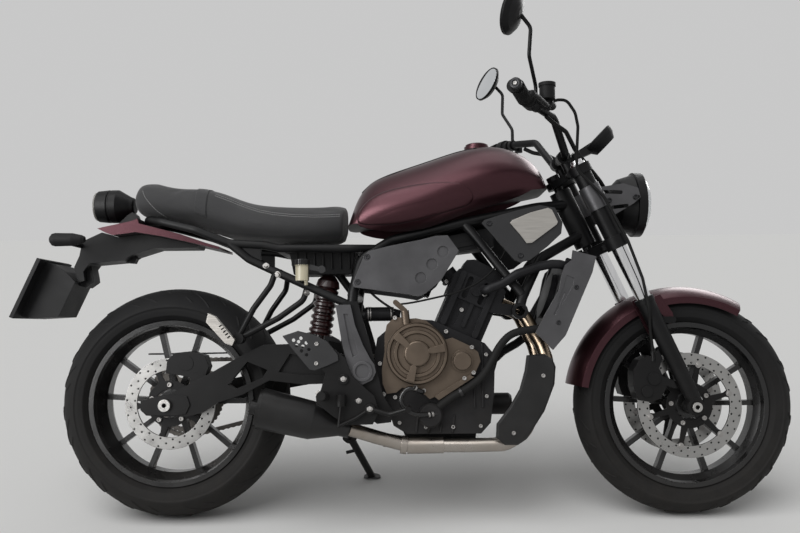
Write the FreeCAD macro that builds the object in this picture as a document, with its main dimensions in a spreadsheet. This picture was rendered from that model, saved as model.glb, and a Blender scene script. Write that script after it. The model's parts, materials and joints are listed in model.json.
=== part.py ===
import FreeCAD, Part
import math
import os
import Sketcher
from FreeCAD import Placement, Rotation, Vector

# Cafe racer motorcycle, parked on its side stand.
# Every piece is drawn upright: X forward, Y to the left, Z up, the origin on the
# ground under the rear axle. Each piece's Placement then leans it to the left.

doc = FreeCAD.newDocument("CafeRacer")
sheet = doc.addObject("Spreadsheet::Sheet", "Sizes")

SIZES = (
    ("wheelbase", 1405, "rear axle to front axle"),
    ("seat_height", 850, "top of the seat above the ground, upright"),
    ("lean_angle", 9.5, "degrees to the left on the side stand"),
    ("rake", 24.8, "degrees of the steering axis from upright"),
    ("rear_tyre_radius", 315, "rear wheel to the tread"),
    ("rear_tyre_width", 180, "rear tyre across the sidewalls"),
    ("rear_crown", 105, "radius of the rear tread across the tyre"),
    ("front_tyre_radius", 300, "front wheel to the tread"),
    ("front_tyre_width", 120, "front tyre across the sidewalls"),
    ("front_crown", 70, "radius of the front tread across the tyre"),
    ("bead_radius", 216, "rim where the tyre seats"),
    ("flange_radius", 224, "rim lip"),
    ("rear_rim_width", 152, "rear rim over its lips"),
    ("front_rim_width", 101, "front rim over its lips"),
    ("rim_wall", 5, "wall of the rim barrel"),
    ("rear_hub_width", 157, "rear hub from end to end"),
    ("front_hub_width", 134, "front hub from end to end"),
    ("hub_radius", 34, "hub at its ends"),
    ("spoke_depth", 26, "spoke across the wheel"),
    ("spoke_width", 14, "spoke seen from the side, at the rim"),
    ("spoke_spread", 32, "degrees between the two spokes of a pair"),
    ("front_disc_radius", 141, "front brake disc"),
    ("front_disc_track", 32, "width of the front brake track"),
    ("front_disc_plane", 69.5, "front disc from the centre plane"),
    ("rear_disc_radius", 122.5, "rear brake disc"),
    ("rear_disc_track", 32.5, "width of the rear brake track"),
    ("rear_disc_plane", 81, "rear disc from the centre plane"),
    ("disc_thickness", 5, "brake discs"),
    ("pad_gap", 5.5, "caliper slot to disc, each side"),
    ("front_axle_radius", 9, "front axle"),
    ("rear_axle_radius", 10, "rear axle"),
    ("axle_bore_radius", 6, "hole along each axle"),
    ("running_gap", 0.05, "round a shaft that turns"),
    ("joint_gap", 0.2, "round a piece that is bolted or pushed on"),
    ("fork_spacing", 210, "fork leg to fork leg"),
    ("fork_offset", 52, "fork legs ahead of the steering axis"),
    ("axle_offset", 44.1, "front axle ahead of the steering axis"),
    ("fork_tube_radius", 20.5, "chromed fork tube"),
    ("fork_lower_radius", 26, "cast fork lower at its top"),
    ("fork_cover_radius", 25, "black cover over the upper fork tube"),
    ("top_yoke_height", 940, "top yoke on the fork legs"),
    ("bottom_yoke_height", 742, "bottom yoke on the fork legs"),
    ("seal_height", 590, "top of the fork lowers"),
    ("stem_radius", 13, "steering stem"),
    ("stem_bore_radius", 8, "hole up the steering stem"),
    ("head_tube_radius", 30, "frame head tube"),
    ("bar_radius", 11, "handlebar at the grips"),
    ("grip_radius", 16, "rubber grips"),
    ("bar_half_width", 395, "centre to the end of a grip"),
    ("grip_length", 118, "rubber grips"),
    ("mirror_radius", 57, "round mirrors"),
    ("mirror_reach", 305, "mirror from the centre plane"),
    ("lamp_radius", 91, "headlamp rim"),
    ("lamp_height", 858, "headlamp centre"),
    ("lamp_reach", 151, "headlamp rim plane ahead of the fork legs"),
    ("meter_radius", 48, "round instrument"),
    ("meter_depth", 36, "round instrument, front to back"),
    ("frame_tube_radius", 14, "main frame tubes"),
    ("rail_radius", 11, "seat rails"),
    ("frame_half_width", 128, "frame tube beside the engine from the centre plane"),
    ("rail_half_width", 118, "seat rail from the centre plane"),
    ("pivot_x", 525, "swingarm pivot ahead of the rear axle"),
    ("pivot_height", 403, "swingarm pivot above the ground"),
    ("pivot_tube_radius", 22, "swingarm pivot tube"),
    ("pivot_pin_radius", 9, "swingarm pivot pin"),
    ("arm_inner_right", 105, "right arm's inner face"),
    ("arm_inner_left", 126, "left arm's inner face"),
    ("arm_thickness", 24, "swingarm arm across the bike"),
    ("plate_plane", 154, "frame plate's inner face from the centre plane"),
    ("plate_thickness", 8, "frame plates"),
    ("chain_plane", 112, "chain line from the centre plane"),
    ("chain_pitch", 15.875, "roller to roller"),
    ("chain_width", 17, "over the chain's plates"),
    ("chain_plate_height", 15, "chain plate"),
    ("roller_radius", 5.08, "chain rollers"),
    ("rear_teeth", 43, "rear sprocket"),
    ("front_teeth", 16, "front sprocket"),
    ("front_sprocket_ahead", 72, "front sprocket ahead of the swingarm pivot"),
    ("front_sprocket_height", 392, "front sprocket above the ground"),
    ("sprocket_thickness", 6, "sprockets"),
    ("case_half_width", 118, "crankcase from the centre plane"),
    ("clutch_radius", 82, "clutch cover"),
    ("cylinder_tilt", 24, "degrees the cylinders lean forward"),
    ("head_half_width", 104, "cylinder head from the centre plane"),
    ("header_radius", 18, "exhaust pipes"),
    ("silencer_radius", 54, "silencer at its tail"),
    ("silencer_plane", 155, "silencer's tail from the centre plane"),
    ("panel_plane", 156, "side covers from the centre plane"),
    ("panel_thickness", 12, "side covers"),
    ("insert_thickness", 5, "brushed inserts of the intake covers"),
    ("tank_half_width", 146, "fuel tank at its widest"),
    ("tunnel_half_width", 104, "hollow under the tank"),
    ("seat_half_width", 128, "seat at its widest"),
    ("fender_gap", 20, "front fender inside to the tread"),
    ("fender_wall", 4, "front fender"),
    ("guard_plane", 188, "heel guards from the centre plane"),
    ("guard_thickness", 4, "heel guards"),
    ("peg_reach", 280, "rider's peg tip from the centre plane"),
    ("stand_behind", 55, "side stand pivot behind the swingarm pivot"),
    ("stand_plane", 140, "side stand pivot from the centre plane"),
    ("stand_height", 196, "side stand pivot above the ground"),
    ("stand_tube_radius", 11, "side stand leg"),
    ("stand_foot_ahead", 60, "side stand foot ahead of its pivot"),
    ("stand_foot_plane", 290, "side stand foot from the centre plane"),
    ("stand_foot_radius", 26, "side stand foot"),
    ("stand_foot_thickness", 6, "side stand foot"),
    ("stand_pin_radius", 6, "side stand pivot bolt"),
)

for row, (alias, value, note) in enumerate(SIZES, start=1):
    sheet.set("A%d" % row, str(value))
    sheet.setAlias("A%d" % row, alias)
    sheet.set("B%d" % row, note)
doc.recompute()


def size(alias):
    """One driving dimension, read from the sheet."""
    return float(sheet.get(alias))


LEAN = math.radians(size("lean_angle"))
RAKE = math.radians(size("rake"))
WHEELBASE = size("wheelbase")
FORK_Y = size("fork_spacing") / 2
UPRIGHT = Vector(0, 0, 1)
ACROSS = Vector(0, 1, 0)
AHEAD = Vector(1, 0, 0)
CENTRE = Vector(0, 0, 0)
SIDES = (-1, 1)

# The rear tyre rolls on its crown as the bike leans, so the lean is followed by
# a small shift that puts the rear contact back on the origin.
LEANED = Placement(
    Vector(0, -size("rear_crown") * math.sin(LEAN), size("rear_crown") * (1 - math.cos(LEAN))),
    Rotation(AHEAD, -size("lean_angle")),
)


def ground_height(y):
    """Height of the floor, in the upright drawing, at a distance y to the left."""
    return y * math.tan(LEAN) - size("rear_crown") * (1 / math.cos(LEAN) - 1)


def moved(x=0.0, y=0.0, z=0.0):
    """The lean, after a move within the upright drawing."""
    return LEANED.multiply(Placement(Vector(x, y, z), Rotation()))


# The outlines were drawn over a photo at these sizes. Each one is stretched from
# them to the sheet's own sizes, so pieces that touch stay together.
DRAWN_WHEELBASE = 1405.0
DRAWN_SEAT_HEIGHT = 850.0
DRAWN_PIVOT = Vector(525, 0, 403)
DRAWN_HALF_WIDTH = 128.0
DRAWN_TUBE_RADIUS = 14.0
DRAWN_REAR_RADIUS = 315.0
DRAWN_FRONT_RADIUS = 300.0
DRAWN_STEM_TOP = Vector(1070.7, 0, 918.2)


def fine(length):
    """A small detail's length, which grows with the frame's tubes."""
    return length * size("frame_tube_radius") / DRAWN_TUBE_RADIUS


def station(x):
    """A place along the bike, kept in proportion behind and ahead of the pivot."""
    if x <= DRAWN_PIVOT.x:
        return x * size("pivot_x") / DRAWN_PIVOT.x
    share = (x - DRAWN_PIVOT.x) / (DRAWN_WHEELBASE - DRAWN_PIVOT.x)
    return size("pivot_x") + share * (WHEELBASE - size("pivot_x"))


def level(z):
    return z * size("seat_height") / DRAWN_SEAT_HEIGHT


def aside(y):
    return y * size("frame_half_width") / DRAWN_HALF_WIDTH


def spot(x, y, z):
    """A drawn point of the chassis at the sheet's sizes."""
    return Vector(station(x), aside(y), level(z))


def spots(points):
    return [spot(*point) for point in points]


def body_outline(points):
    """A drawn side outline of the chassis at the sheet's sizes."""
    return [(station(x), level(z)) for x, z in points]


def pivot_outline(points):
    """A side outline that keeps its place about the swingarm pivot."""
    return [
        (size("pivot_x") + fine(x - DRAWN_PIVOT.x), size("pivot_height") + fine(z - DRAWN_PIVOT.z))
        for x, z in points
    ]


def arm_outline(points):
    """A side outline that runs from the rear axle to the swingarm pivot."""
    placed = []
    for x, z in points:
        share = x / DRAWN_PIVOT.x
        drawn_line = DRAWN_REAR_RADIUS + share * (DRAWN_PIVOT.z - DRAWN_REAR_RADIUS)
        line = size("rear_tyre_radius") + share * (size("pivot_height") - size("rear_tyre_radius"))
        placed.append((share * size("pivot_x"), line + fine(z - drawn_line)))
    return placed


def rear_outline(points):
    """A side outline that keeps its place about the rear axle."""
    grown = size("rear_disc_radius") / 122.5
    return [(x * grown, size("rear_tyre_radius") + (z - DRAWN_REAR_RADIUS) * grown) for x, z in points]


def front_spot(x, y, z):
    """A drawn point that keeps its place about the front axle."""
    grown = size("front_tyre_radius") / DRAWN_FRONT_RADIUS
    return Vector(WHEELBASE + (x - DRAWN_WHEELBASE) * grown, y * grown,
                  size("front_tyre_radius") + (z - DRAWN_FRONT_RADIUS) * grown)


def front_outline(points):
    placed = [front_spot(x, 0, z) for x, z in points]
    return [(point.x, point.z) for point in placed]


def on_leg(height, across, ahead=0.0):
    """A point on a fork leg's line, from its height on the leg at straight ahead."""
    trail = (size("front_tyre_radius") * math.sin(RAKE) - size("axle_offset")) / math.cos(RAKE)
    axis_x = WHEELBASE + trail - height * math.tan(RAKE)
    return Vector(axis_x + size("fork_offset") / math.cos(RAKE) + ahead, across, height)


STEERING_UP = Vector(-math.sin(RAKE), 0, math.cos(RAKE))
STEERING_AHEAD = Vector(math.cos(RAKE), 0, math.sin(RAKE))


def on_stem(leg_height):
    """The point of the steering axis that lies square behind a point of the legs."""
    return on_leg(leg_height, 0) - STEERING_AHEAD * size("fork_offset")


def head_spot(x, y, z):
    """A drawn point that keeps its place about the top of the steering stem."""
    top = on_stem(size("top_yoke_height"))
    return Vector(top.x + fine(x - DRAWN_STEM_TOP.x), fine(y), top.z + fine(z - DRAWN_STEM_TOP.z))


def head_outline(points):
    placed = [head_spot(x, 0, z) for x, z in points]
    return [(point.x, point.z) for point in placed]


sub_parts = []


def keep(piece, label, placement=None):
    """Name a finished sub-part and give it its place on the leaning bike."""
    piece.Label = label
    piece.Placement = placement or LEANED
    sub_parts.append(piece)
    return piece


def keep_shape(label, *shapes):
    """A sub-part drawn with the kernel's own functions."""
    piece = doc.addObject("Part::Feature", label)
    piece.Shape = Part.makeCompound(list(shapes))
    return keep(piece, label)


def keep_pair(piece, label):
    """A feature and its mirror image on the bike's other side, as one sub-part."""
    other = doc.addObject("Part::Mirroring", label + "_left")
    other.Source = piece
    other.Normal = ACROSS
    both = doc.addObject("Part::Compound", label)
    both.Links = [piece, other]
    return keep(both, label)


# Drawing helpers

def path_wire(points, bend):
    """Straight runs joined by tangent arcs of one radius, or what the runs allow."""
    corners = [Vector(*point) for point in points]
    edges = []
    start = corners[0]
    for index in range(1, len(corners) - 1):
        corner = corners[index]
        back = corners[index - 1] - corner
        onward = corners[index + 1] - corner
        room = 0.45 * min(back.Length, onward.Length)
        back.normalize()
        onward.normalize()
        half_angle = back.getAngle(onward) / 2
        setback = min(bend / math.tan(half_angle), room)
        radius = setback * math.tan(half_angle)
        first = corner + back * setback
        last = corner + onward * setback
        inward = back + onward
        inward.normalize()
        middle = corner + inward * (radius / math.sin(half_angle) - radius)
        edges.append(Part.LineSegment(start, first).toShape())
        edges.append(Part.Arc(first, middle, last).toShape())
        start = last
    edges.append(Part.LineSegment(start, corners[-1]).toShape())
    return Part.Wire(edges)


def tube(points, radius, bend=60.0):
    """A round bar bent along a path."""
    spine = path_wire(points, bend)
    start = Vector(*points[0])
    along = Vector(*points[1]) - start
    circle = Part.Wire(Part.Circle(start, along, radius).toShape())
    return spine.makePipeShell([circle], True, False)


def rod(start, end, radius, end_radius=None):
    """A straight round bar, or a cone, between two points."""
    start = Vector(*start)
    along = Vector(*end) - start
    if end_radius is None:
        return Part.makeCylinder(radius, along.Length, start, along)
    return Part.makeCone(radius, end_radius, along.Length, start, along)


def turned(profile, base, along):
    """A round piece from its distances along an axis and its radii there."""
    ring = [(profile[0][0], 0.0)] + list(profile) + [(profile[-1][0], 0.0)]
    corners = [Vector(radius, 0, distance) for distance, radius in ring]
    solid = Part.Face(Part.makePolygon(corners + [corners[0]])).revolve(CENTRE, UPRIGHT, 360)
    solid.Placement = Placement(Vector(*base), Rotation(UPRIGHT, Vector(*along)))
    return solid


def side_wire(points, y):
    """A closed outline in a plane beside the bike, from its X and Z."""
    corners = [Vector(x, y, z) for x, z in points]
    return Part.makePolygon(corners + [corners[0]])


def slab(points, y_from, y_to):
    """A side outline given thickness across the bike."""
    return Part.Face(side_wire(points, y_from)).extrude(Vector(0, y_to - y_from, 0))


def disc(x, z, radius, y_from, y_to):
    """A short round bar across the bike."""
    return rod((x, y_from, z), (x, y_to, z), radius)


def slot(start, end, radius, y_from, y_to):
    """A bar with round ends in its side view, as a long hole or a rib is."""
    first = Vector(start[0], y_from, start[1])
    last = Vector(end[0], y_from, end[1])
    along = (last - first).normalize()
    off = Vector(-along.z, 0, along.x) * radius
    wire = Part.Wire([
        Part.LineSegment(first + off, last + off).toShape(),
        Part.Arc(last + off, last + along * radius, last - off).toShape(),
        Part.LineSegment(last - off, first - off).toShape(),
        Part.Arc(first - off, first - along * radius, first + off).toShape(),
    ])
    return Part.Face(wire).extrude(Vector(0, y_to - y_from, 0))


def mirrored(shape):
    """The same piece on the other side of the bike."""
    return shape.mirror(CENTRE, ACROSS)


def both_sides(shape):
    return [shape, mirrored(shape)]


def fused(*shapes):
    """Several shapes joined as one solid, with split faces merged where that holds."""
    joined = shapes[0].multiFuse(list(shapes[1:]))
    merged = joined.removeSplitter()
    return merged if merged.isValid() else joined


def cut_by(shape, *tools):
    for tool in tools:
        shape = shape.cut(tool)
    return shape


def cross_section(x, half_width, low, high, fullness=2.5, taper=0.0):
    """A smooth closed section across the bike, narrower at the top by the taper."""
    middle = (low + high) / 2
    half_height = (high - low) / 2
    points = []
    for step in range(16):
        turn = 2 * math.pi * step / 16
        side = math.copysign(abs(math.cos(turn)) ** (2 / fullness), math.cos(turn))
        rise = math.copysign(abs(math.sin(turn)) ** (2 / fullness), math.sin(turn))
        width = half_width * (1 - taper * max(rise, 0.0))
        points.append(Vector(x, side * width, middle + rise * half_height))
    curve = Part.BSplineCurve()
    curve.interpolate(points, PeriodicFlag=True)
    return Part.Wire(curve.toShape())


def lofted(sections):
    return Part.makeLoft(sections, True, False)


# Sketch helpers

def origin_plane(body, role):
    return next(item for item in body.Origin.OriginFeatures if item.Role == role)


def new_sketch(body, role, name):
    """A sketch on one of the body's own origin planes."""
    sketch = body.newObject("Sketcher::SketchObject", name)
    sketch.AttachmentSupport = [(origin_plane(body, role), "")]
    sketch.MapMode = "FlatFace"
    return sketch


def add_outline(sketch, points):
    """A closed outline of straight lines, each end held on the next."""
    first = sketch.GeometryCount
    count = len(points)
    for index in range(count):
        start = Vector(*points[index], 0)
        end = Vector(*points[(index + 1) % count], 0)
        sketch.addGeometry(Part.LineSegment(start, end))
    for index in range(count):
        onward = (index + 1) % count
        sketch.addConstraint(Sketcher.Constraint("Coincident", first + index, 2, first + onward, 1))


def add_circle(sketch, radius, x=0.0, y=0.0, driven_by=None):
    """A circle, whose radius follows an expression on the sheet if one is given."""
    index = sketch.addGeometry(Part.Circle(Vector(x, y, 0), UPRIGHT, radius))
    if driven_by:
        constraint = sketch.addConstraint(Sketcher.Constraint("Radius", index, radius))
        sketch.setExpression("Constraints[%d]" % constraint, driven_by)


def revolved(body, sketch, name):
    """Spin a section about the wheel's axle line."""
    feature = body.newObject("PartDesign::Revolution", name)
    feature.Profile = sketch
    feature.ReferenceAxis = (sketch, ["H_Axis"])
    feature.Angle = 360
    return feature


def symmetric_pad(body, sketch, name, length):
    """A pad spread evenly to both sides of its sketch."""
    feature = body.newObject("PartDesign::Pad", name)
    feature.Profile = sketch
    feature.setExpression("Length", length)
    feature.SideType = "Symmetric"
    return feature


def round_array(body, original, sketch, name, count):
    """Copies of a feature round the wheel's axle line."""
    pattern = body.newObject("PartDesign::PolarPattern", name)
    pattern.Originals = [original]
    pattern.Axis = (sketch, ["N_Axis"])
    pattern.Angle = 360
    pattern.Occurrences = count
    body.Tip = pattern
    return pattern


def side_panel(label, outline, plane, thickness):
    """A right-hand panel: an outline padded outward from a plane beside the bike."""
    body = doc.addObject("PartDesign::Body", label + "_right")
    sketch = new_sketch(body, "XZ_Plane", label + "_outline")
    sketch.setExpression("AttachmentOffset.Base.z", plane)
    add_outline(sketch, outline)
    pad = body.newObject("PartDesign::Pad", label + "_pad")
    pad.Profile = sketch
    pad.setExpression("Length", thickness)
    return body


def sink_circles(body, name, plane, centres, radius, depth):
    """Round recesses from a panel's outer face inward."""
    sketch = new_sketch(body, "XZ_Plane", name + "_circles")
    sketch.setExpression("AttachmentOffset.Base.z", plane)
    for x, z in centres:
        add_circle(sketch, radius, x, z)
    pocket = body.newObject("PartDesign::Pocket", name)
    pocket.Profile = sketch
    pocket.Length = depth
    body.Tip = pocket
    return pocket




# Wheels

TYRE_FACETS = 72


def build_tyre(label, radius, width, crown, rim_width, x):
    """A closed tyre ring in flat facets, so that it stays light: crowned tread, sidewalls and beads."""
    half = width / 2
    edge = math.asin(half / crown)
    bead_inside_lip = fine(7)
    over_lip = fine(2)
    strips = 3
    # The tread has a corner at the lean angle, so that it meets the floor there.
    turns = [LEAN + (edge - LEAN) * step / strips for step in range(strips + 1)]
    right = [(crown * math.sin(turn), radius - crown + crown * math.cos(turn)) for turn in turns]
    bead_y = rim_width / 2 - bead_inside_lip
    lip = size("flange_radius") + over_lip
    # Facets cut inside the circle through their corners, so the bead's corners stand further out.
    bead = (size("bead_radius") + size("joint_gap")) / math.cos(math.pi / TYRE_FACETS)
    edge_height = right[-1][1]
    right += [
        (half - (half - bead_y) * 0.12, edge_height - (edge_height - lip) * 0.45),
        (bead_y, lip), (bead_y, bead),
    ]
    section = right + [(-y, z) for y, z in reversed(right)]
    rings = [
        [Vector(x + z * math.sin(turn), y, radius + z * math.cos(turn)) for y, z in section]
        for turn in [2 * math.pi * step / TYRE_FACETS for step in range(TYRE_FACETS)]
    ]
    faces = []
    for ring, following in zip(rings, rings[1:] + rings[:1]):
        for low, high in zip(range(len(section)), list(range(1, len(section))) + [0]):
            corners = [ring[low], ring[high], following[high], following[low], ring[low]]
            faces.append(Part.Face(Part.makePolygon(corners)))
    tyre = Part.Solid(Part.Shell(faces))
    if tyre.Volume < 0:
        tyre.reverse()
    return keep_shape(label, tyre)


def build_rim(label, rim_width, hub_width, bore, x, radius, phase):
    """A cast wheel: hub, ten slim spokes in five pairs and a dropped-centre rim."""
    body = doc.addObject("PartDesign::Body", label)
    half = rim_width / 2
    hub_half = hub_width / 2
    bead = size("bead_radius")
    lip = size("flange_radius")
    wall = size("rim_wall")
    hub_radius = size("hub_radius")
    well = bead - fine(18)
    ring = new_sketch(body, "YZ_Plane", label + "_ring_section")
    side = [
        (half, lip), (half - fine(5), lip), (half - fine(6.5), bead), (fine(26), bead), (fine(18), well),
        (0, well),
    ]
    inside = [
        (0, well - wall), (fine(20), well - wall), (half - fine(16), bead - wall - fine(3)),
        (half, bead - wall),
    ]
    right = side[:-1] + [(-y, r) for y, r in reversed(side[:-1])]
    left = [(-y, r) for y, r in reversed(inside[1:])] + inside[1:]
    add_outline(ring, right + left)
    revolved(body, ring, label + "_ring")
    hub = new_sketch(body, "YZ_Plane", label + "_hub_section")
    hub_side = [
        (hub_half, bore), (hub_half, hub_radius), (hub_half - fine(12), hub_radius + fine(4)),
        (fine(16), hub_radius), (fine(10), hub_radius - fine(4)),
    ]
    add_outline(hub, hub_side + [(-y, r) for y, r in reversed(hub_side)])
    revolved(body, hub, label + "_hub")
    spoke = new_sketch(body, "XZ_Plane", label + "_spoke_outline")
    inner = hub_radius - fine(9)
    waist = inner + fine(50)
    outer = well - wall + fine(2)
    root = fine(12)
    tip = size("spoke_width") / 2
    for sign in SIDES:
        turn = math.radians(phase + sign * size("spoke_spread") / 2)
        along = Vector(math.cos(turn), math.sin(turn), 0)
        across = Vector(-along.y, along.x, 0)
        corners = (
            along * inner + across * root, along * waist + across * tip * 0.9,
            along * outer + across * tip, along * outer - across * tip,
            along * waist - across * tip * 0.9, along * inner - across * root,
        )
        add_outline(spoke, [(corner.x, corner.y) for corner in corners])
    pad = symmetric_pad(body, spoke, label + "_spoke_pair", "Sizes.spoke_depth")
    pad.AllowMultiFace = True
    round_array(body, pad, spoke, label + "_spokes", 5)
    return keep(body, label, moved(x, 0, radius))


def brake_disc(name, radius_alias, track_alias, plane_alias, arms, phase):
    """A brake track held by narrow arms on a ring that bolts to the hub."""
    body = doc.addObject("PartDesign::Body", name)
    plane = "Sizes." + plane_alias
    thick = "Sizes.disc_thickness"
    radius = size(radius_alias)
    inner = radius - size(track_alias)
    hub_bore = size("hub_radius") + fine(6)
    hub_rim = hub_bore + fine(22)

    def flat_sketch(label):
        sketch = new_sketch(body, "XZ_Plane", label)
        sketch.setExpression("AttachmentOffset.Base.z", plane)
        return sketch

    track = flat_sketch(name + "_track_outline")
    add_circle(track, radius, driven_by="Sizes." + radius_alias)
    add_circle(track, inner, driven_by="Sizes.%s - Sizes.%s" % (radius_alias, track_alias))
    symmetric_pad(body, track, name + "_track", thick)
    arm = flat_sketch(name + "_arm_outline")
    turn = math.radians(phase)
    along = Vector(math.cos(turn), math.sin(turn), 0)
    across = Vector(-along.y, along.x, 0)
    shape = [
        (hub_rim - fine(4), -9), (inner - fine(10), -6), (inner + fine(3), -11), (inner + fine(3), 11),
        (inner - fine(10), 6), (hub_rim - fine(4), 9),
    ]
    corners = [along * reach + across * fine(off) for reach, off in shape]
    add_outline(arm, [(corner.x, corner.y) for corner in corners])
    pad = symmetric_pad(body, arm, name + "_arm", thick)
    round_array(body, pad, arm, name + "_arms", arms)
    ring = flat_sketch(name + "_carrier_outline")
    add_circle(ring, hub_rim)
    add_circle(ring, hub_bore)
    carrier = symmetric_pad(body, ring, name + "_carrier", thick)
    body.Tip = carrier
    return body


def build_wheels():
    rear = size("rear_tyre_radius")
    front = size("front_tyre_radius")
    gap = size("running_gap")
    pair_angle = 88
    build_tyre("rear_tyre", rear, size("rear_tyre_width"), size("rear_crown"), size("rear_rim_width"), 0)
    build_tyre("front_tyre", front, size("front_tyre_width"), size("front_crown"),
               size("front_rim_width"), WHEELBASE)
    build_rim("rear_rim", size("rear_rim_width"), size("rear_hub_width"), size("rear_axle_radius") + gap,
              0, rear, pair_angle)
    build_rim("front_rim", size("front_rim_width"), size("front_hub_width"),
              size("front_axle_radius") + gap, WHEELBASE, front, pair_angle)
    front_disc = brake_disc("front_disc_right", "front_disc_radius", "front_disc_track",
                            "front_disc_plane", 6, 16)
    keep_pair(front_disc, "front_discs").Placement = moved(WHEELBASE, 0, front)
    rear_disc = brake_disc("rear_disc", "rear_disc_radius", "rear_disc_track", "rear_disc_plane", 5, 40)
    keep(rear_disc, "rear_disc", moved(0, 0, rear))


# Chain drive

def pitch_radius(teeth):
    return size("chain_pitch") / (2 * math.sin(math.pi / teeth))


def toothed_outline(teeth, centre):
    """A sprocket's outline, its teeth just short of the rollers."""
    reach = pitch_radius(teeth) - size("roller_radius")
    root = reach - fine(4)
    tip = reach - fine(0.5)
    points = []
    for index in range(teeth):
        for share, radius in ((0.0, root), (0.35, tip), (0.65, tip)):
            turn = 2 * math.pi * (index + share) / teeth
            points.append((centre[0] + radius * math.cos(turn), centre[1] + radius * math.sin(turn)))
    return points


def build_rear_sprocket():
    """A toothed ring with lightening holes, on a carrier at the hub's left end."""
    teeth = int(size("rear_teeth"))
    half = size("sprocket_thickness") / 2
    plane = size("chain_plane")
    hub_end = size("rear_hub_width") / 2
    bore = size("hub_radius") + fine(6)
    ring = slab(toothed_outline(teeth, (0, 0)), plane - half, plane + half)
    carrier = disc(0, 0, bore + fine(12), hub_end, plane)
    shape = fused(ring, carrier).cut(disc(0, 0, bore, hub_end - half, plane + 2 * half))
    hole_ring = (bore + pitch_radius(teeth)) / 2
    for index in range(5):
        turn = 2 * math.pi * (index + 0.5) / 5
        hole = disc(hole_ring * math.cos(turn), hole_ring * math.sin(turn), fine(13), plane - 2 * half,
                    plane + 2 * half)
        shape = shape.cut(hole)
    keep_shape("rear_sprocket", shape).Placement = moved(0, 0, size("rear_tyre_radius"))


def sprocket_centres():
    rear = Vector(0, 0, size("rear_tyre_radius"))
    front = Vector(size("pivot_x") + size("front_sprocket_ahead"), 0, size("front_sprocket_height"))
    return rear, front


def chain_angles():
    """Directions, seen from the left, of the chain's upper and lower straight runs."""
    rear, front = sprocket_centres()
    big = pitch_radius(size("rear_teeth"))
    small = pitch_radius(size("front_teeth"))
    slope = math.atan2(front.z - rear.z, front.x - rear.x)
    opening = math.acos((big - small) / (front - rear).Length)
    return slope + opening, slope - opening


def chain_run(x, upper=True):
    """Height of the chain's upper or lower straight run at a place along the bike."""
    rear = sprocket_centres()[0]
    turn = chain_angles()[0 if upper else 1]
    big = pitch_radius(size("rear_teeth"))
    start = rear + Vector(math.cos(turn), 0, math.sin(turn)) * big
    return start.z - (x - start.x) / math.tan(turn)


def chain_loop():
    """Points one half link apart round the loop, with the outward direction at each."""
    rear, front = sprocket_centres()
    big = pitch_radius(size("rear_teeth"))
    small = pitch_radius(size("front_teeth"))
    upper, lower = chain_angles()
    straight = math.sqrt((front - rear).Length ** 2 - (big - small) ** 2)
    front_wrap = upper - lower
    rear_wrap = 2 * math.pi - front_wrap
    total = 2 * straight + rear_wrap * big + front_wrap * small
    links = int(round(total / size("chain_pitch") / 2)) * 2

    def at(distance):
        if distance < straight:
            out = Vector(math.cos(upper), 0, math.sin(upper))
            return rear + out * big + Vector(out.z, 0, -out.x) * distance, out
        distance -= straight
        if distance < front_wrap * small:
            turn = upper - distance / small
            out = Vector(math.cos(turn), 0, math.sin(turn))
            return front + out * small, out
        distance -= front_wrap * small
        if distance < straight:
            out = Vector(math.cos(lower), 0, math.sin(lower))
            return front + out * small + Vector(out.z, 0, -out.x) * distance, out
        distance -= straight
        turn = lower - distance / big
        out = Vector(math.cos(turn), 0, math.sin(turn))
        return rear + out * big, out

    return [at(total * step / (2 * links)) for step in range(2 * links)]


def build_chain():
    """A closed run of links, waisted between the rollers."""
    outer = []
    inner = []
    last_out = None
    for index, (point, out) in enumerate(chain_loop()):
        waist = fine(2.2) if index % 2 else 0
        far = point + out * (size("chain_plate_height") / 2 - waist)
        near = point - out * (size("roller_radius") - size("joint_gap"))
        outer.append((far.x, far.z))
        if last_out is None or (out - last_out).Length > 0.1:
            inner.append((near.x, near.z))
            last_out = out
    half = size("chain_width") / 2
    plane = size("chain_plane")
    band = slab(outer, plane - half, plane + half).cut(slab(inner, plane - half, plane + half))
    keep_shape("drive_chain", band)


# Axles, swingarm and stand

RIGHT_ARM_OUTSIDE = size("arm_inner_right") + size("arm_thickness")
LEFT_ARM_OUTSIDE = size("arm_inner_left") + size("arm_thickness")
AXLE_PLATE = fine(4)


def build_axles():
    """Both axles with their nuts and spacers, bored from end to end."""
    rear_z = size("rear_tyre_radius")
    front_z = size("front_tyre_radius")
    nut = fine(9)
    right = RIGHT_ARM_OUTSIDE + AXLE_PLATE
    left = LEFT_ARM_OUTSIDE + AXLE_PLATE
    hub_end = size("rear_hub_width") / 2
    sprocket_end = size("chain_plane") + size("sprocket_thickness") / 2
    shaft = disc(0, rear_z, size("rear_axle_radius"), -right - nut, left + nut)
    solid = fused(
        shaft, disc(0, rear_z, fine(16), -right - nut, -right),
        disc(0, rear_z, fine(16), left, left + nut),
        disc(0, rear_z, fine(17), -size("arm_inner_right"), -hub_end - fine(1)),
        disc(0, rear_z, fine(17), sprocket_end + fine(1), size("arm_inner_left")),
    )
    keep_shape("rear_axle", solid.cut(disc(0, rear_z, size("axle_bore_radius"), -right - nut,
                                           left + nut)))
    reach = FORK_Y + fine(30)
    hub_side = size("front_hub_width") / 2 + fine(1)
    lug_side = FORK_Y - fine(21)
    pieces = [disc(WHEELBASE, front_z, size("front_axle_radius"), -reach, reach)]
    for sign in SIDES:
        pieces.append(disc(WHEELBASE, front_z, fine(15), sign * hub_side, sign * lug_side))
        pieces.append(disc(WHEELBASE, front_z, fine(13), sign * (FORK_Y + fine(22)), sign * reach))
    solid = fused(*pieces).cut(disc(WHEELBASE, front_z, size("axle_bore_radius"), -reach, reach))
    keep_shape("front_axle", solid)


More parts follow.
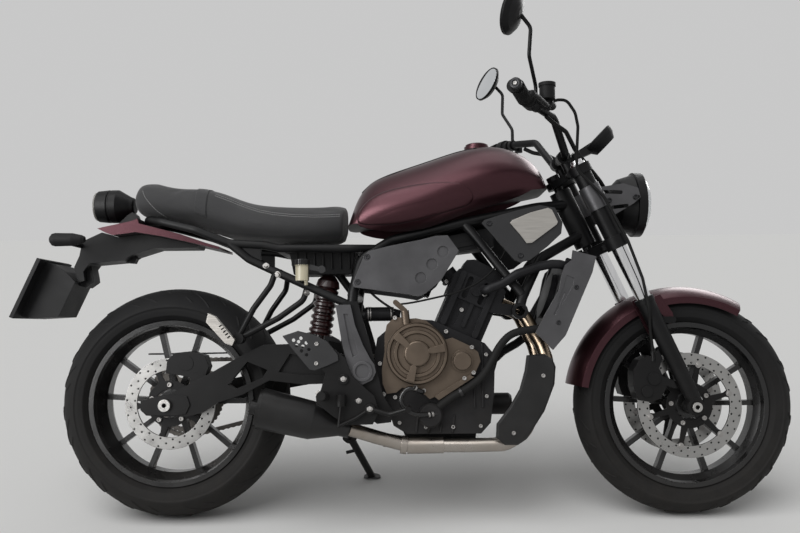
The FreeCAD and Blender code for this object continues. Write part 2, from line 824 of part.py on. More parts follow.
def build_swingarm():
    """A cast arm each side, joined ahead of the tyre, with the chain between its runs."""
    rear_z = size("rear_tyre_radius")
    pivot_x = size("pivot_x")
    pivot_z = size("pivot_height")
    gap = size("joint_gap")
    right_inner = -size("arm_inner_right")
    left_inner = size("arm_inner_left")
    right = arm_outline([
        (-66, 303), (-66, 328), (16, 346), (110, 394), (204, 446), (257, 472), (330, 474), (430, 452),
        (515, 438), (552, 416), (555, 392), (525, 371), (363, 367), (275, 378), (204, 341), (137, 320),
        (97, 294), (57, 284), (-50, 288),
    ])
    arm = slab(right, -RIGHT_ARM_OUTSIDE, right_inner)
    hole = arm_outline([(166, 368), (217, 428), (270, 406), (258, 386), (186, 356)])
    arm = arm.cut(slab(hole, -RIGHT_ARM_OUTSIDE, right_inner))
    window = arm_outline([(300, 400), (330, 448), (430, 428), (488, 410), (470, 392), (370, 392)])
    arm = arm.cut(slab(window, -RIGHT_ARM_OUTSIDE, -RIGHT_ARM_OUTSIDE + size("arm_thickness") * 0.4))
    left = arm_outline([
        (-66, 303), (-66, 328), (16, 343), (110, 366), (260, 396), (430, 428), (515, 438), (552, 416),
        (555, 392), (525, 371), (363, 352), (204, 325), (97, 292), (57, 284), (-50, 288),
    ])
    left_arm = slab(left, left_inner, LEFT_ARM_OUTSIDE)
    left_window = arm_outline([(120, 312), (120, 350), (260, 380), (400, 406), (400, 376), (260, 346)])
    left_arm = left_arm.cut(slab(left_window, LEFT_ARM_OUTSIDE - size("arm_thickness") * 0.4,
                                 LEFT_ARM_OUTSIDE))
    clear = size("chain_plate_height") / 2 + fine(7)
    bridge_rear = size("rear_tyre_radius") + fine(35)
    bridge_front = bridge_rear + fine(80)
    (lip_x, lip_z), (toe_x, toe_z) = arm_outline([(bridge_rear, 376), (bridge_front, 376)])
    bridge = slab([
        (lip_x, lip_z), (lip_x, chain_run(lip_x) - clear), (toe_x, chain_run(toe_x) - clear),
        (toe_x, toe_z),
    ], right_inner - fine(2), left_inner + fine(2))
    sleeve = disc(pivot_x, pivot_z, size("pivot_tube_radius"), right_inner - fine(2),
                  left_inner + fine(2))
    plates = []
    plate = arm_outline([(-62, 300), (-62, 328), (16, 342), (58, 338), (66, 315), (55, 292), (24, 288),
                         (-48, 290)])
    plates.append(slab(plate, -RIGHT_ARM_OUTSIDE - AXLE_PLATE, -RIGHT_ARM_OUTSIDE))
    plates.append(slab(plate, LEFT_ARM_OUTSIDE, LEFT_ARM_OUTSIDE + AXLE_PLATE))
    guard_gap = size("chain_plate_height") / 2 + fine(14)
    guard_stations = [station(x) for x in (-118, -40, 60, 200, 330)]
    over = [(x, max(chain_run(x), chain_run(0)) + guard_gap) for x in guard_stations]
    under = [(x, z - fine(4)) for x, z in reversed(over)]
    guard = slab(over + under, size("chain_plane") - fine(14), left_inner + fine(3))
    stay_x = station(225)
    stay_top = chain_run(stay_x) + guard_gap
    stay_low = arm_outline([(225, 380)])[0][1]
    stay = slab([(stay_x, stay_low), (stay_x, stay_top), (stay_x + fine(26), stay_top),
                 (stay_x + fine(26), stay_low)], left_inner, left_inner + fine(3))
    shape = fused(arm, left_arm, bridge, sleeve, guard, stay, *plates)
    axle = disc(0, rear_z, size("rear_axle_radius"), -RIGHT_ARM_OUTSIDE - 2 * AXLE_PLATE,
                LEFT_ARM_OUTSIDE + 2 * AXLE_PLATE)
    pin = disc(pivot_x, pivot_z, size("pivot_pin_radius") + gap, -RIGHT_ARM_OUTSIDE - 1,
               LEFT_ARM_OUTSIDE + 1)
    keep_shape("swingarm", cut_by(shape, axle, pin))


def stand_frame():
    """The stand's pivot, its foot and the axis it turns about."""
    pivot = Vector(size("pivot_x") - size("stand_behind"), size("stand_plane"), size("stand_height"))
    foot_y = size("stand_foot_plane")
    foot = Vector(pivot.x + size("stand_foot_ahead"), foot_y, ground_height(foot_y))
    down = (foot - pivot).normalize()
    folded = Vector(*STAND_FOLDED).normalize()
    axis = down.cross(folded).normalize()
    return pivot, foot, down, folded, axis


# The stand's leg points back along the bike when it is folded.
STAND_FOLDED = (-0.985, 0.06, -0.16)
STAND_EYE_HALF = fine(8)
STAND_CHEEK_GAP = fine(1.5)
STAND_CHEEK = fine(6)


def build_side_stand():
    """A leg from its eye to a flat foot that lies on the floor when the bike leans."""
    pivot, foot, down, _, axis = stand_frame()
    floor_normal = Vector(0, -math.sin(LEAN), math.cos(LEAN))
    sole = Part.makeCylinder(size("stand_foot_radius"), size("stand_foot_thickness"), foot, floor_normal)
    ankle = foot + floor_normal * (size("stand_foot_thickness") / 2)
    leg = rod(pivot + down * fine(18), ankle, size("stand_tube_radius"))
    eye = rod(pivot - axis * STAND_EYE_HALF, pivot + axis * STAND_EYE_HALF, fine(21))
    shin = pivot + down * fine(70)
    tab = rod(shin, shin + axis.cross(down) * fine(34), fine(5))
    shape = fused(leg, eye, sole, tab)
    reach = 2 * (foot - pivot).Length
    below = Part.makeBox(reach, reach, reach, Vector(-reach / 2, -reach / 2, -reach))
    below.Placement = Placement(foot, Rotation(AHEAD, -size("lean_angle")))
    bolt = rod(pivot - axis * reach, pivot + axis * reach, size("stand_pin_radius") + size("joint_gap"))
    keep_shape("side_stand", cut_by(shape, below, bolt))


def stand_bracket():
    """A forked bracket with a bolt through the stand's eye, clear of the leg's sweep."""
    pivot, _, down, folded, axis = stand_frame()
    clear_way = (down + folded).normalize() * -1
    sideways = axis.cross(clear_way)
    frame = Placement(pivot, Rotation(clear_way, sideways, axis, "XYZ"))
    near = STAND_EYE_HALF + STAND_CHEEK_GAP
    far = near + STAND_CHEEK
    half = fine(12)
    reach = fine(36)
    web_start = fine(24)
    cheeks = [
        Part.makeBox(reach, 2 * half, STAND_CHEEK, Vector(0, -half, near)),
        Part.makeBox(reach, 2 * half, STAND_CHEEK, Vector(0, -half, -far)),
        Part.makeBox(reach - web_start, 2 * half, 2 * far, Vector(web_start, -half, -far)),
        Part.makeCylinder(fine(15), STAND_CHEEK, Vector(0, 0, near)),
        Part.makeCylinder(fine(15), STAND_CHEEK, Vector(0, 0, -far)),
        Part.makeCylinder(size("stand_pin_radius"), 2 * far + fine(8), Vector(0, 0, -far - fine(4))),
    ]
    for cheek in cheeks:
        cheek.Placement = frame
    knee = pivot + clear_way * (reach - fine(8)) + axis * near
    hip = Vector(size("pivot_x") + fine(14), size("plate_plane") + fine(2),
                 size("pivot_height") - fine(106))
    return fused(*cheeks, rod(knee, hip, fine(10)))


# Frame

def side_tube_points(sign):
    """The corners of a main frame tube, from the head tube down to its pivot plate."""
    bottom = on_stem(size("bottom_yoke_height"))
    neck = bottom + (on_stem(size("top_yoke_height")) - bottom) * 0.7
    inside = size("plate_plane") - size("frame_tube_radius")
    boss_x, boss_z = pivot_outline([(494, 548)])[0]
    return [
        Vector(neck.x, sign * fine(12), neck.z), spot(1000, sign * 72, 842), spot(800, sign * 84, 800),
        spot(600, sign * 84, 752), spot(520, sign * 112, 700),
        Vector(station(500), sign * inside, level(610)),
        Vector(boss_x, sign * (inside + fine(6)), boss_z),
    ]


def build_main_frame():
    """Head tube, twin side tubes and the plates that hold the engine and swingarm."""
    radius = size("frame_tube_radius")
    plate_in = size("plate_plane")
    plate_out = plate_in + size("plate_thickness")
    pivot_x = size("pivot_x")
    pivot_z = size("pivot_height")
    top = on_stem(size("top_yoke_height")) - STEERING_UP * fine(22)
    bottom = on_stem(size("bottom_yoke_height")) + STEERING_UP * fine(24)
    neck_low = bottom + (top - bottom) * 0.2
    boss = spot(942, 0, 557)
    boss_inside = size("head_half_width") + fine(1)
    boss_outside = size("frame_half_width") + radius
    plate = pivot_outline([
        (474, 585), (512, 585), (546, 470), (558, 420), (578, 340), (604, 296), (598, 270), (562, 266),
        (520, 296), (496, 345), (486, 400), (468, 480),
    ])
    rear_boss = pivot_outline([(586, 284)])[0]
    pieces = [rod(bottom, top, size("head_tube_radius"))]
    for sign in SIDES:
        pieces.append(tube(side_tube_points(sign), radius))
        pieces.append(tube([
            (neck_low.x, sign * fine(12), neck_low.z), spot(1006, sign * 84, 700),
            spot(948, sign * 128, 590),
            spot(942, sign * 128, 557),
        ], radius))
        pieces.append(tube([spot(800, sign * 84, 800), spot(950, sign * 128, 600)], radius * 0.9))
        pieces.append(disc(boss.x, boss.z, fine(21), sign * boss_inside, sign * boss_outside))
        pieces.append(slab(plate, sign * plate_in, sign * plate_out))
        pieces.append(disc(*rear_boss, fine(13), sign * (size("case_half_width") + fine(1)),
                           sign * plate_in))
    pieces.append(disc(pivot_x, pivot_z, fine(24), -plate_in, -RIGHT_ARM_OUTSIDE - size("joint_gap")))
    pieces.append(disc(pivot_x, pivot_z, fine(24), LEFT_ARM_OUTSIDE + size("joint_gap"), plate_in))
    pieces.append(rod(spot(600, -84, 752), spot(600, 84, 752), radius))
    pieces.append(disc(station(498), level(602), radius, -plate_in + fine(14), plate_in - fine(14)))
    low_tube = pivot_outline([(557, 284)])[0]
    pieces.append(disc(*low_tube, fine(12), -plate_in, plate_in))
    pieces.append(disc(pivot_x, pivot_z, size("pivot_pin_radius"), -plate_out, plate_out))
    shock_top = spot(430, 0, 694)
    pieces.append(rod(spot(498, 0, 602), (shock_top.x, 0, shock_top.z), fine(11)))
    pieces.append(stand_bracket())
    frame = fused(*pieces)
    stem = rod(bottom - STEERING_UP, top + STEERING_UP, size("stem_radius") + size("running_gap"))
    frame = cut_by(frame, stem, disc(boss.x, boss.z, fine(13), -2 * boss_outside, 2 * boss_outside))
    keep_shape("main_frame", frame)


def build_subframe():
    """Seat rails with a tail loop, lower braces and the hangers for the pillion pegs."""
    radius = size("rail_radius")
    half = size("rail_half_width")

    def rail(x, y_share, z):
        return Vector(station(x), half * y_share, level(z))

    pieces = []
    for sign in SIDES:
        pieces.append(tube([
            spot(562, sign * 97, 730), rail(500, sign * 0.98, 729), rail(298, sign, 731),
            rail(255, sign, 740), rail(164, sign, 746), rail(69, sign, 784), rail(-30, sign * 0.76, 810),
            rail(-78, sign * 0.5, 819), rail(-84, 0, 820),
        ], radius))
        pieces.append(tube([
            rail(164, sign, 746), rail(218, sign, 702), rail(268, sign, 678),
            (station(498), sign * (size("plate_plane") - fine(14)), level(572)),
        ], radius))
        hanger = [rail(288, sign, 664), rail(280, sign * 1.18, 630), rail(236, sign * 1.23, 569),
                  rail(200, sign * 1.27, 500)]
        pieces.append(tube(hanger, fine(8), 30))
        pieces.append(tube([
            rail(375, sign * 1.07, 624), rail(368, sign * 1.2, 590), rail(302, sign * 1.23, 543),
            rail(204, sign * 1.27, 492),
        ], fine(8), 30))
        eye = rail(200, sign * 1.27, 490)
        pieces.append(disc(eye.x, eye.z, fine(15), eye.y - sign * fine(12), eye.y + sign * fine(26)))
    pieces.append(rod(rail(298, -1, 731), rail(298, 1, 731), radius))
    gusset = body_outline([(200, 712), (164, 742), (250, 734), (250, 690)])
    for sign in SIDES:
        pieces.append(slab(gusset, sign * (half - fine(4)), sign * (half + fine(2))))
    shape = fused(*pieces)
    clear = size("frame_tube_radius") + size("joint_gap")
    for sign in SIDES:
        corners = side_tube_points(sign)[3:]
        for start, end in zip(corners, corners[1:]):
            beyond = (end - start) * 0.2
            shape = shape.cut(rod(start - beyond, end + beyond, clear))
    keep_shape("subframe", shape)


# Engine

CLUTCH = spot(668, 0, 447)
CYLINDER_TILT = math.radians(size("cylinder_tilt"))
CYLINDER_UP = Vector(math.sin(CYLINDER_TILT), 0, math.cos(CYLINDER_TILT))
CYLINDER_AHEAD = Vector(math.cos(CYLINDER_TILT), 0, -math.sin(CYLINDER_TILT))
CYLINDER_BASE = spot(776, 0, 505)


def on_cylinder(up, ahead, across=0.0):
    """A point of the leaning cylinder block, from its own height and depth."""
    return CYLINDER_BASE + CYLINDER_UP * fine(up) + CYLINDER_AHEAD * fine(ahead) + ACROSS * across


def cylinder_outline(points):
    placed = [on_cylinder(up, ahead) for up, ahead in points]
    return [(point.x, point.z) for point in placed]


def build_crankcase():
    """Two case halves, narrower behind the sprocket, with a sump and the front sprocket."""
    half = size("case_half_width")
    chain_side = size("chain_plane") - size("chain_width") / 2 - fine(6)
    deck = cylinder_outline([(0, -72), (0, 80)])
    front = body_outline([(876, 440), (872, 340), (862, 262), (836, 234)])
    case = deck + front + body_outline([
        (640, 234), (604, 256), (590, 300), (566, 350), (554, 440), (562, 488), (600, 520), (660, 538),
    ])
    front_case = deck + front + body_outline([(690, 234), (672, 300), (672, 520)])
    sump = body_outline([(630, 230), (648, 192), (800, 188), (826, 206), (830, 232)])
    sprocket = sprocket_centres()[1]
    thick = size("sprocket_thickness") / 2
    plane = size("chain_plane")
    wheel = slab(toothed_outline(int(size("front_teeth")), (sprocket.x, sprocket.z)), plane - thick,
                 plane + thick)
    shaft = disc(sprocket.x, sprocket.z, fine(13), chain_side - fine(8), plane + thick + fine(5))
    lower_lug = pivot_outline([(586, 284)])[0]
    water_pump = spot(702, 0, 285)
    shape = fused(
        slab(case, -half, chain_side), slab(front_case, chain_side - fine(1), half),
        slab(sump, -half * 0.42, half * 0.72),
        disc(*lower_lug, fine(13), -half, half * 0.6), wheel, shaft,
        turned([(0, fine(32)), (fine(30), fine(32)), (fine(36), fine(27))],
               (water_pump.x, -half + fine(1), water_pump.z), -ACROSS),
        turned([(0, fine(30)), (fine(58), fine(30)), (fine(66), fine(24))],
               (station(868), fine(20), level(300)), AHEAD),
    )
    keep_shape("engine_crankcase", shape)


def build_cylinders():
    """A leaning barrel, head and cam cover with side recesses, ribs and mounting ears."""
    half = size("head_half_width")
    seat_up = 0.2
    block = slab(cylinder_outline([(seat_up, -60), (seat_up, 72), (86, 72), (86, -60)]), -half + fine(10),
                 half - fine(10))
    head = slab(cylinder_outline([
        (84, -66), (84, 76), (110, 80), (150, 80), (158, 66), (158, -60), (140, -68),
    ]), -half, half)
    cover = slab(cylinder_outline([(156, -54), (156, 60), (184, 58), (196, 44), (200, -30), (190, -50)]),
                 -half * 0.76, half * 0.76)
    pieces = [block, head, cover]
    step = fine(7)
    for sign in SIDES:
        outside = sign * half
        for ahead in (-44, 48):
            low = on_cylinder(8, ahead)
            high = on_cylinder(150, ahead)
            pieces.append(slot((low.x, low.z), (high.x, high.z), fine(8), outside * 0.8,
                               outside + sign * step))
        rib_low = on_cylinder(20, 10)
        rib_high = on_cylinder(86, 10)
        pieces.append(slot((rib_low.x, rib_low.z), (rib_high.x, rib_high.z), fine(5), outside * 0.8,
                           outside - sign * fine(2)))
        plug = on_cylinder(122, 6)
        pieces.append(disc(plug.x, plug.z, fine(16), outside * 0.9, outside + sign * fine(8)))
    outlet_x, outlet_z = cylinder_outline([(128, 24)])[0]
    pieces.append(disc(outlet_x, outlet_z, fine(15), -half * 0.9, -half - fine(16)))
    for across in (-0.42, 0.42):
        start = on_cylinder(118, 78, half * across)
        pieces.append(rod(start, start + CYLINDER_AHEAD * fine(8), fine(27)))
        intake = on_cylinder(128, -62, half * across)
        pieces.append(rod(intake, intake - CYLINDER_AHEAD * fine(26) + CYLINDER_UP * fine(14), fine(22)))
    boss = spot(942, 0, 557)
    ear_from = on_cylinder(96, 60)
    for sign in SIDES:
        pieces.append(slot((ear_from.x, ear_from.z), (boss.x, boss.z), fine(15), sign * (half - fine(18)),
                           sign * half))
    shape = fused(*pieces)
    shape = shape.cut(disc(boss.x, boss.z, fine(7), -half - step, half + step))
    for sign in SIDES:
        for low_at, high_at, ahead in ((18, 70, -20), (96, 144, -20), (96, 144, 26)):
            low = on_cylinder(low_at, ahead)
            high = on_cylinder(high_at, ahead)
            shape = shape.cut(slot((low.x, low.z), (high.x, high.z), fine(7), sign * (half - fine(14)),
                                   sign * (half + step)))
    keep_shape("engine_cylinders", shape)


def clutch_rib(turn_degrees, depth_from, depth_to):
    """A rib that runs outward over the clutch cover's rings."""
    turn = math.radians(turn_degrees)
    along = Vector(math.cos(turn), 0, math.sin(turn))
    across = Vector(-along.z, 0, along.x)
    reach = size("clutch_radius")
    shape = ((0.34, 0.02), (0.42, 0.09), (0.90, 0.13), (0.90, -0.13), (0.42, -0.09), (0.34, -0.02))
    corners = [CLUTCH + along * reach * out + across * reach * off for out, off in shape]
    return slab([(corner.x, corner.z) for corner in corners], depth_from, depth_to)


def build_engine_covers():
    """The clutch cover with its rings and ribs, and the generator cover on the left."""
    half = size("case_half_width")
    radius = size("clutch_radius")
    flange_out = half + fine(14)
    flange = body_outline([
        (582, 494), (588, 523), (606, 541), (624, 543), (640, 538), (666, 540), (692, 534), (720, 511),
        (744, 482), (762, 488), (808, 466), (830, 449), (836, 425), (824, 399), (786, 370), (742, 345),
        (700, 326), (690, 336), (657, 354), (628, 357), (612, 344), (587, 341), (576, 367), (574, 406),
        (582, 453),
    ])
    rings = turned([
        (0, radius), (fine(22), radius), (fine(30), radius * 0.95), (fine(30), radius * 0.88),
        (fine(22), radius * 0.85), (fine(22), radius * 0.76), (fine(31), radius * 0.74),
        (fine(31), radius * 0.65), (fine(24), radius * 0.62), (fine(24), radius * 0.43),
        (fine(36), radius * 0.40), (fine(38), radius * 0.36),
    ], (CLUTCH.x, -flange_out + fine(1), CLUTCH.z), -ACROSS)
    cap_spot = spot(787, 0, 426)
    cap = turned([(0, fine(29)), (fine(8), fine(29)), (fine(8), fine(25)), (fine(17), fine(25)),
                  (fine(20), fine(22))], (cap_spot.x, -flange_out + fine(1), cap_spot.z), -ACROSS)
    ridge = slab(body_outline([(712, 334), (806, 390), (818, 384), (724, 324)]), -flange_out - fine(8),
                 -flange_out)
    ribs = [clutch_rib(turn, -flange_out - fine(37), -flange_out) for turn in (139, 12, 255)]
    arm_foot = spot(640, 0, 524)
    arm_top = spot(636, 0, 560)
    post = rod((arm_foot.x, -half - fine(22), arm_foot.z), (arm_top.x, -half - fine(22), arm_top.z),
               fine(11))
    lever = slot((arm_top.x, arm_top.z), (station(612), level(582)), fine(7), -half - fine(26),
                 -half - fine(20))
    right = fused(slab(flange, -flange_out, -half), rings, cap, ridge, post, lever, *ribs)
    generator = spot(774, 0, 392)
    left_flange = body_outline([
        (690, 322), (684, 430), (724, 488), (790, 492), (852, 462), (866, 400), (860, 318), (808, 286),
        (730, 290),
    ])
    bowl = turned([
        (0, fine(76)), (fine(26), fine(76)), (fine(34), fine(68)), (fine(34), fine(52)),
        (fine(28), fine(50)),
        (fine(28), fine(30)), (fine(36), fine(27)), (fine(38), fine(24)),
    ], (generator.x, half + fine(13), generator.z), ACROSS)
    left = fused(slab(left_flange, half, half + fine(14)), bowl)
    keep_shape("engine_covers", right, left)


def build_sprocket_cover():
    """A plate over the front sprocket, standing off the crankcase on two posts."""
    sprocket = sprocket_centres()[1]
    inner = size("chain_plane") + size("chain_width") / 2 + fine(6)
    outline = [(-30, -40), (-30, 40), (-14, 58), (36, 58), (66, 34), (78, -10), (66, -52), (0, -62)]
    cover = slab([(sprocket.x + fine(x), sprocket.z + fine(z)) for x, z in outline], inner,
                 inner + fine(8))
    rim = disc(sprocket.x, sprocket.z, fine(30), inner + fine(7), inner + fine(14))
    keep_shape("sprocket_cover", fused(cover, rim))


def build_airbox():
    """The air filter box under the tank, between the frame tubes."""
    half = size("tunnel_half_width") * 0.6
    box = slab(body_outline([
        (612, 650), (606, 730), (640, 742), (800, 775), (880, 788), (884, 736), (770, 722), (716, 664),
        (700, 650),
    ]), -half, half)
    lid = slab(body_outline([(620, 700), (618, 712), (868, 762), (868, 750)]), -half - fine(3),
               half + fine(3))
    keep_shape("airbox", fused(box, lid))


def build_radiator():
    """A core between side tanks, with its filler, its fan ring and the top hose."""
    half = size("frame_half_width")
    core = slab(body_outline([(1014, 508), (1074, 692), (1108, 681), (1048, 497)]), -half, half)
    tank = body_outline([(1008, 504), (1071, 698), (1114, 684), (1051, 490)])
    pieces = [core]
    for sign in SIDES:
        pieces.append(slab(tank, sign * (half - fine(12)), sign * (half + fine(8))))
    frame_line = (spot(1074, 0, 692) - spot(1014, 0, 508)).normalize()
    back = Vector(-frame_line.z, 0, frame_line.x)
    fan = (spot(1014, 0, 508) + spot(1074, 0, 692)) * 0.5
    pieces.append(rod(fan - back * fine(2), fan + back * fine(14), fine(66)))
    outlet_x, outlet_z = cylinder_outline([(128, 24)])[0]
    outlet_y = -size("head_half_width") - fine(16.2)
    outlet_run = [Vector(outlet_x, outlet_y - fine(30), outlet_z), Vector(outlet_x, outlet_y, outlet_z)]
    neck = spot(1090, 103, 678)
    pieces.append(rod(neck - frame_line * fine(9), neck + frame_line * fine(16), fine(12)))
    pieces.append(rod(neck + frame_line * fine(15), neck + frame_line * fine(23), fine(16)))
    hose = tube(spots([
        (1078, -120, 668), (1056, -138, 680), (1028, -140, 681), (984, -144, 672), (935, -150, 655),
        (893, -152, 628),
    ]) + outlet_run, fine(12), fine(30))
    bottom_hose = tube(spots([
        (1026, 92, 520), (1000, 98, 494), (962, 98, 466), (922, 96, 444), (896, 94, 420), (877, 92, 420),
    ]), fine(12), fine(30))
    shape = fused(*pieces, hose, bottom_hose)
    keep_shape("radiator", shape)
    cowl = body_outline([
        (1143, 699), (1132, 657), (1115, 619), (1058, 492), (1024, 454), (979, 500), (1002, 542),
        (1042, 609),
        (1052, 655), (1060, 676), (1078, 690), (1082, 716), (1102, 710),
    ])
    inner = half + fine(22)
    panel = slab(cowl, -inner - fine(8), -inner)
    groove = slot((station(1030), level(548)), (station(1056), level(603)), fine(2.5), -inner - fine(8),
                  -inner - fine(5))
    recess = slab(body_outline([(1064, 650), (1084, 642), (1080, 624), (1050, 572), (1038, 580),
                                (1054, 618)]),
                  -inner - fine(8), -inner - fine(6))
    web = slab(body_outline([(1040, 560), (1062, 630), (1090, 622), (1066, 550)]), -inner - fine(1),
               -half - fine(8))
    keep_shape("radiator_cowls", *both_sides(cut_by(fused(panel, web), groove, recess)))


def build_exhaust():
    """Two header pipes that run under the engine into one collector, and the silencer."""
    radius = size("header_radius")
    port = size("head_half_width") * 0.42
    start_right = on_cylinder(118, 86.2, -port)
    start_left = on_cylinder(118, 86.2, port)
    right = tube([
        start_right, start_right + CYLINDER_AHEAD * fine(24),
        start_right + CYLINDER_AHEAD * fine(66) - ACROSS * fine(12), spot(1006, -76, 468),
        spot(1020, -92, 420), spot(996, -104, 330), spot(952, -114, 236), spot(900, -116, 205),
        spot(800, -116, 203), spot(640, -116, 204), spot(560, -118, 226), spot(500, -130, 246),
        spot(488, -133, 250),
    ], radius)
    left = tube([
        start_left, start_left + CYLINDER_AHEAD * fine(24),
        start_left + CYLINDER_AHEAD * fine(62) - ACROSS * fine(10), spot(1000, 22, 464),
        spot(1010, 4, 410), spot(984, -30, 318), spot(938, -66, 226), spot(884, -74, 200),
        spot(800, -74, 198), spot(700, -74, 198), spot(630, -80, 206), spot(590, -104, 216),
        spot(580, -110, 218),
    ], radius)
    collector = rod(spot(736, -116, 204), spot(640, -116, 204), radius + fine(3), radius + fine(4))
    flange = rod(spot(640, -116, 204), spot(624, -116, 207), radius + fine(6))
    pipes = fused(right, left, collector, flange)
    keep_shape("exhaust_pipes", pipes)
    shield = body_outline([
        (956, 440), (1002, 444), (1024, 430), (1032, 410), (1028, 364), (1000, 294), (952, 222),
        (929, 207),
        (895, 207), (872, 228), (874, 262), (909, 306), (936, 352), (950, 400),
    ])
    shield_in = size("frame_half_width") + fine(14)
    plate = slab(shield, -shield_in - fine(8), -shield_in)
    edges = [edge for edge in plate.Edges if abs(edge.CenterOfMass.y + shield_in + fine(8)) < 0.1]
    plate = plate.makeChamfer(fine(5), edges)
    stand_offs = [
        disc(station(998), level(385), fine(9), -shield_in, -fine(108)),
        disc(station(920), level(237), fine(9), -shield_in, -fine(126)),
    ]
    keep_shape("heat_shield", fused(plate, *stand_offs).cut(pipes))
    mouth = spot(488, -133, 250) + (spot(488, -133, 250) - spot(500, -130,
                                                                246)).normalize() * size("joint_gap")
    plane = size("silencer_plane")
    tail = Vector(station(256), -plane, level(308))
    along = tail - mouth
    shoulder = mouth + along * 0.42
    neck = mouth + along * 0.1
    wide = size("silencer_radius")
    back_plate = tail + (along * (fine(8) / along.Length))
    pieces = [
        rod(mouth, neck, radius + fine(6)), rod(neck, shoulder, radius + fine(6), wide - fine(4)),
        rod(shoulder, tail, wide - fine(4), wide), rod(tail, back_plate, wide - fine(5)),
        rod(tail - ACROSS * fine(18), tail - ACROSS * fine(18) + along * (fine(22) / along.Length),
            fine(19)),
    ]
    silencer = fused(*pieces)
    outlet = tail - ACROSS * fine(18)
    silencer = silencer.cut(rod(outlet, outlet + along * (fine(24) / along.Length), fine(16)))
    keep_shape("silencer", silencer.cut(pipes))


# Tank, seat and body panels

def build_tank():
    """A teardrop tank, hollowed for the frame, with a filler cap and a side crease."""
    wide = size("tank_half_width")
    stations = (
        (478, 0.55, 752, 800), (500, 0.68, 752, 860), (540, 0.80, 752, 920), (590, 0.90, 754, 946),
        (680, 1.00, 764, 974), (780, 1.00, 797, 1007), (860, 0.96, 822, 1024), (940, 0.86, 842, 1012),
        (1000, 0.70, 858, 974), (1033, 0.50, 866, 905),
    )
    tank = lofted([
        cross_section(station(x), wide * share, level(low), level(high), 2.8, 0.35)
        for x, share, low, high in stations
    ])
    hollow = size("tunnel_half_width")
    tunnel = slab(body_outline([(440, 700), (440, 790), (700, 824), (900, 874), (1080, 902),
                                (1080, 700)]),
                  -hollow, hollow)
    tank = tank.cut(tunnel)
    collar = spot(846, 0, 1004)
    cap = turned([(0, fine(36)), (fine(24), fine(36)), (fine(24), fine(32)), (fine(30), fine(32)),
                  (fine(33), fine(26))], collar, UPRIGHT)
    keep_shape("fuel_tank", fused(tank, cap))


def build_seat():
    wide = size("seat_half_width")
    stations = (
        (-118, 0.50, 858, 896), (-95, 0.66, 836, 928), (-50, 0.80, 828, 920), (20, 0.88, 812, 906),
        (70, 0.92, 800, 904), (130, 0.95, 780, 892), (200, 1.00, 764, 866), (290, 1.00, 756, 852),
        (380, 0.95, 755, 850), (440, 0.82, 757, 855), (474, 0.70, 761, 862),
    )
    keep_shape("seat", lofted([
        cross_section(station(x), wide * share, level(low), level(high), 3.0, 0.12)
        for x, share, low, high in stations
    ]))


def build_panels():
    """Side covers with three round recesses, and scoop plates with brushed inserts."""
    outer = "Sizes.panel_plane + Sizes.panel_thickness"
    side = side_panel("side_covers", body_outline([
        (500, 632), (503, 640), (529, 703), (542, 717), (602, 731), (681, 746), (720, 756), (751, 757),
        (780, 716), (732, 638), (692, 605), (674, 597), (628, 605), (563, 614), (503, 622),
    ]), "Sizes.panel_plane", "Sizes.panel_thickness")
    sink_circles(side, "side_covers_recess", outer, body_outline([(738, 714), (709, 681), (679, 645)]),
                 fine(15), fine(5))
    sink_circles(side, "side_covers_screw", outer, body_outline([(539, 700), (514, 634)]), fine(9),
                 fine(3))
    keep_pair(side, "side_covers")
    scoop = side_panel("intake_covers", body_outline([
        (841, 789), (849, 797), (891, 810), (944, 824), (996, 835), (1035, 828), (1054, 788), (1050, 759),
        (1014, 726), (967, 690), (941, 684), (925, 691), (889, 733),
    ]), "Sizes.panel_plane", "Sizes.panel_thickness")
    sink_circles(scoop, "intake_covers_screw", outer, body_outline([(862, 786), (943, 700)]), fine(8),
                 fine(3))
    keep_pair(scoop, "intake_covers")
    insert = side_panel("intake_inserts", body_outline([
        (915, 788), (921, 795), (969, 815), (1016, 827), (1026, 822), (1041, 790), (1038, 783),
        (1008, 761),
        (972, 735), (958, 734), (942, 756),
    ]), outer, "Sizes.insert_thickness")
    keep_pair(insert, "intake_inserts")


def build_foot_guards():
    """Covers over the frame plates at the pivot, and the drilled heel guards."""
    inner = size("plate_plane") + size("plate_thickness") + fine(3)
    cover = slab(pivot_outline([
        (455, 576), (494, 576), (506, 523), (526, 472), (545, 436), (556, 420), (560, 400), (550, 380),
        (525, 368), (503, 378), (492, 398), (482, 434), (470, 485),
    ]), -inner - fine(9), -inner)
    dish = disc(size("pivot_x"), size("pivot_height"), fine(26), -inner - fine(14), -inner - fine(8))
    hollow = disc(size("pivot_x"), size("pivot_height"), fine(19), -inner - fine(15), -inner - fine(9))
    window = slab(pivot_outline([(476, 552), (488, 552), (508, 470), (514, 446), (500, 440), (490, 476)]),
                  -inner - fine(9), -inner - fine(4))
    keep_shape("pivot_covers", *both_sides(cut_by(fused(cover, dish), hollow, window)))
    guard = side_panel("heel_guards", pivot_outline([
        (319, 496), (360, 509), (403, 498), (436, 480), (462, 447), (464, 432), (436, 419), (403, 407),
        (390, 409), (347, 460),
    ]), "Sizes.guard_plane", "Sizes.guard_thickness")
    holes = pivot_outline([
        (348, 485), (361, 481), (367, 490), (356, 471), (372, 469), (381, 478), (369, 457), (388, 461),
        (382, 447),
    ])
    sink_circles(guard, "heel_guards_holes", "Sizes.guard_plane + Sizes.guard_thickness", holes,
                 fine(4.5),
                 fine(6))
    keep_pair(guard, "heel_guards")


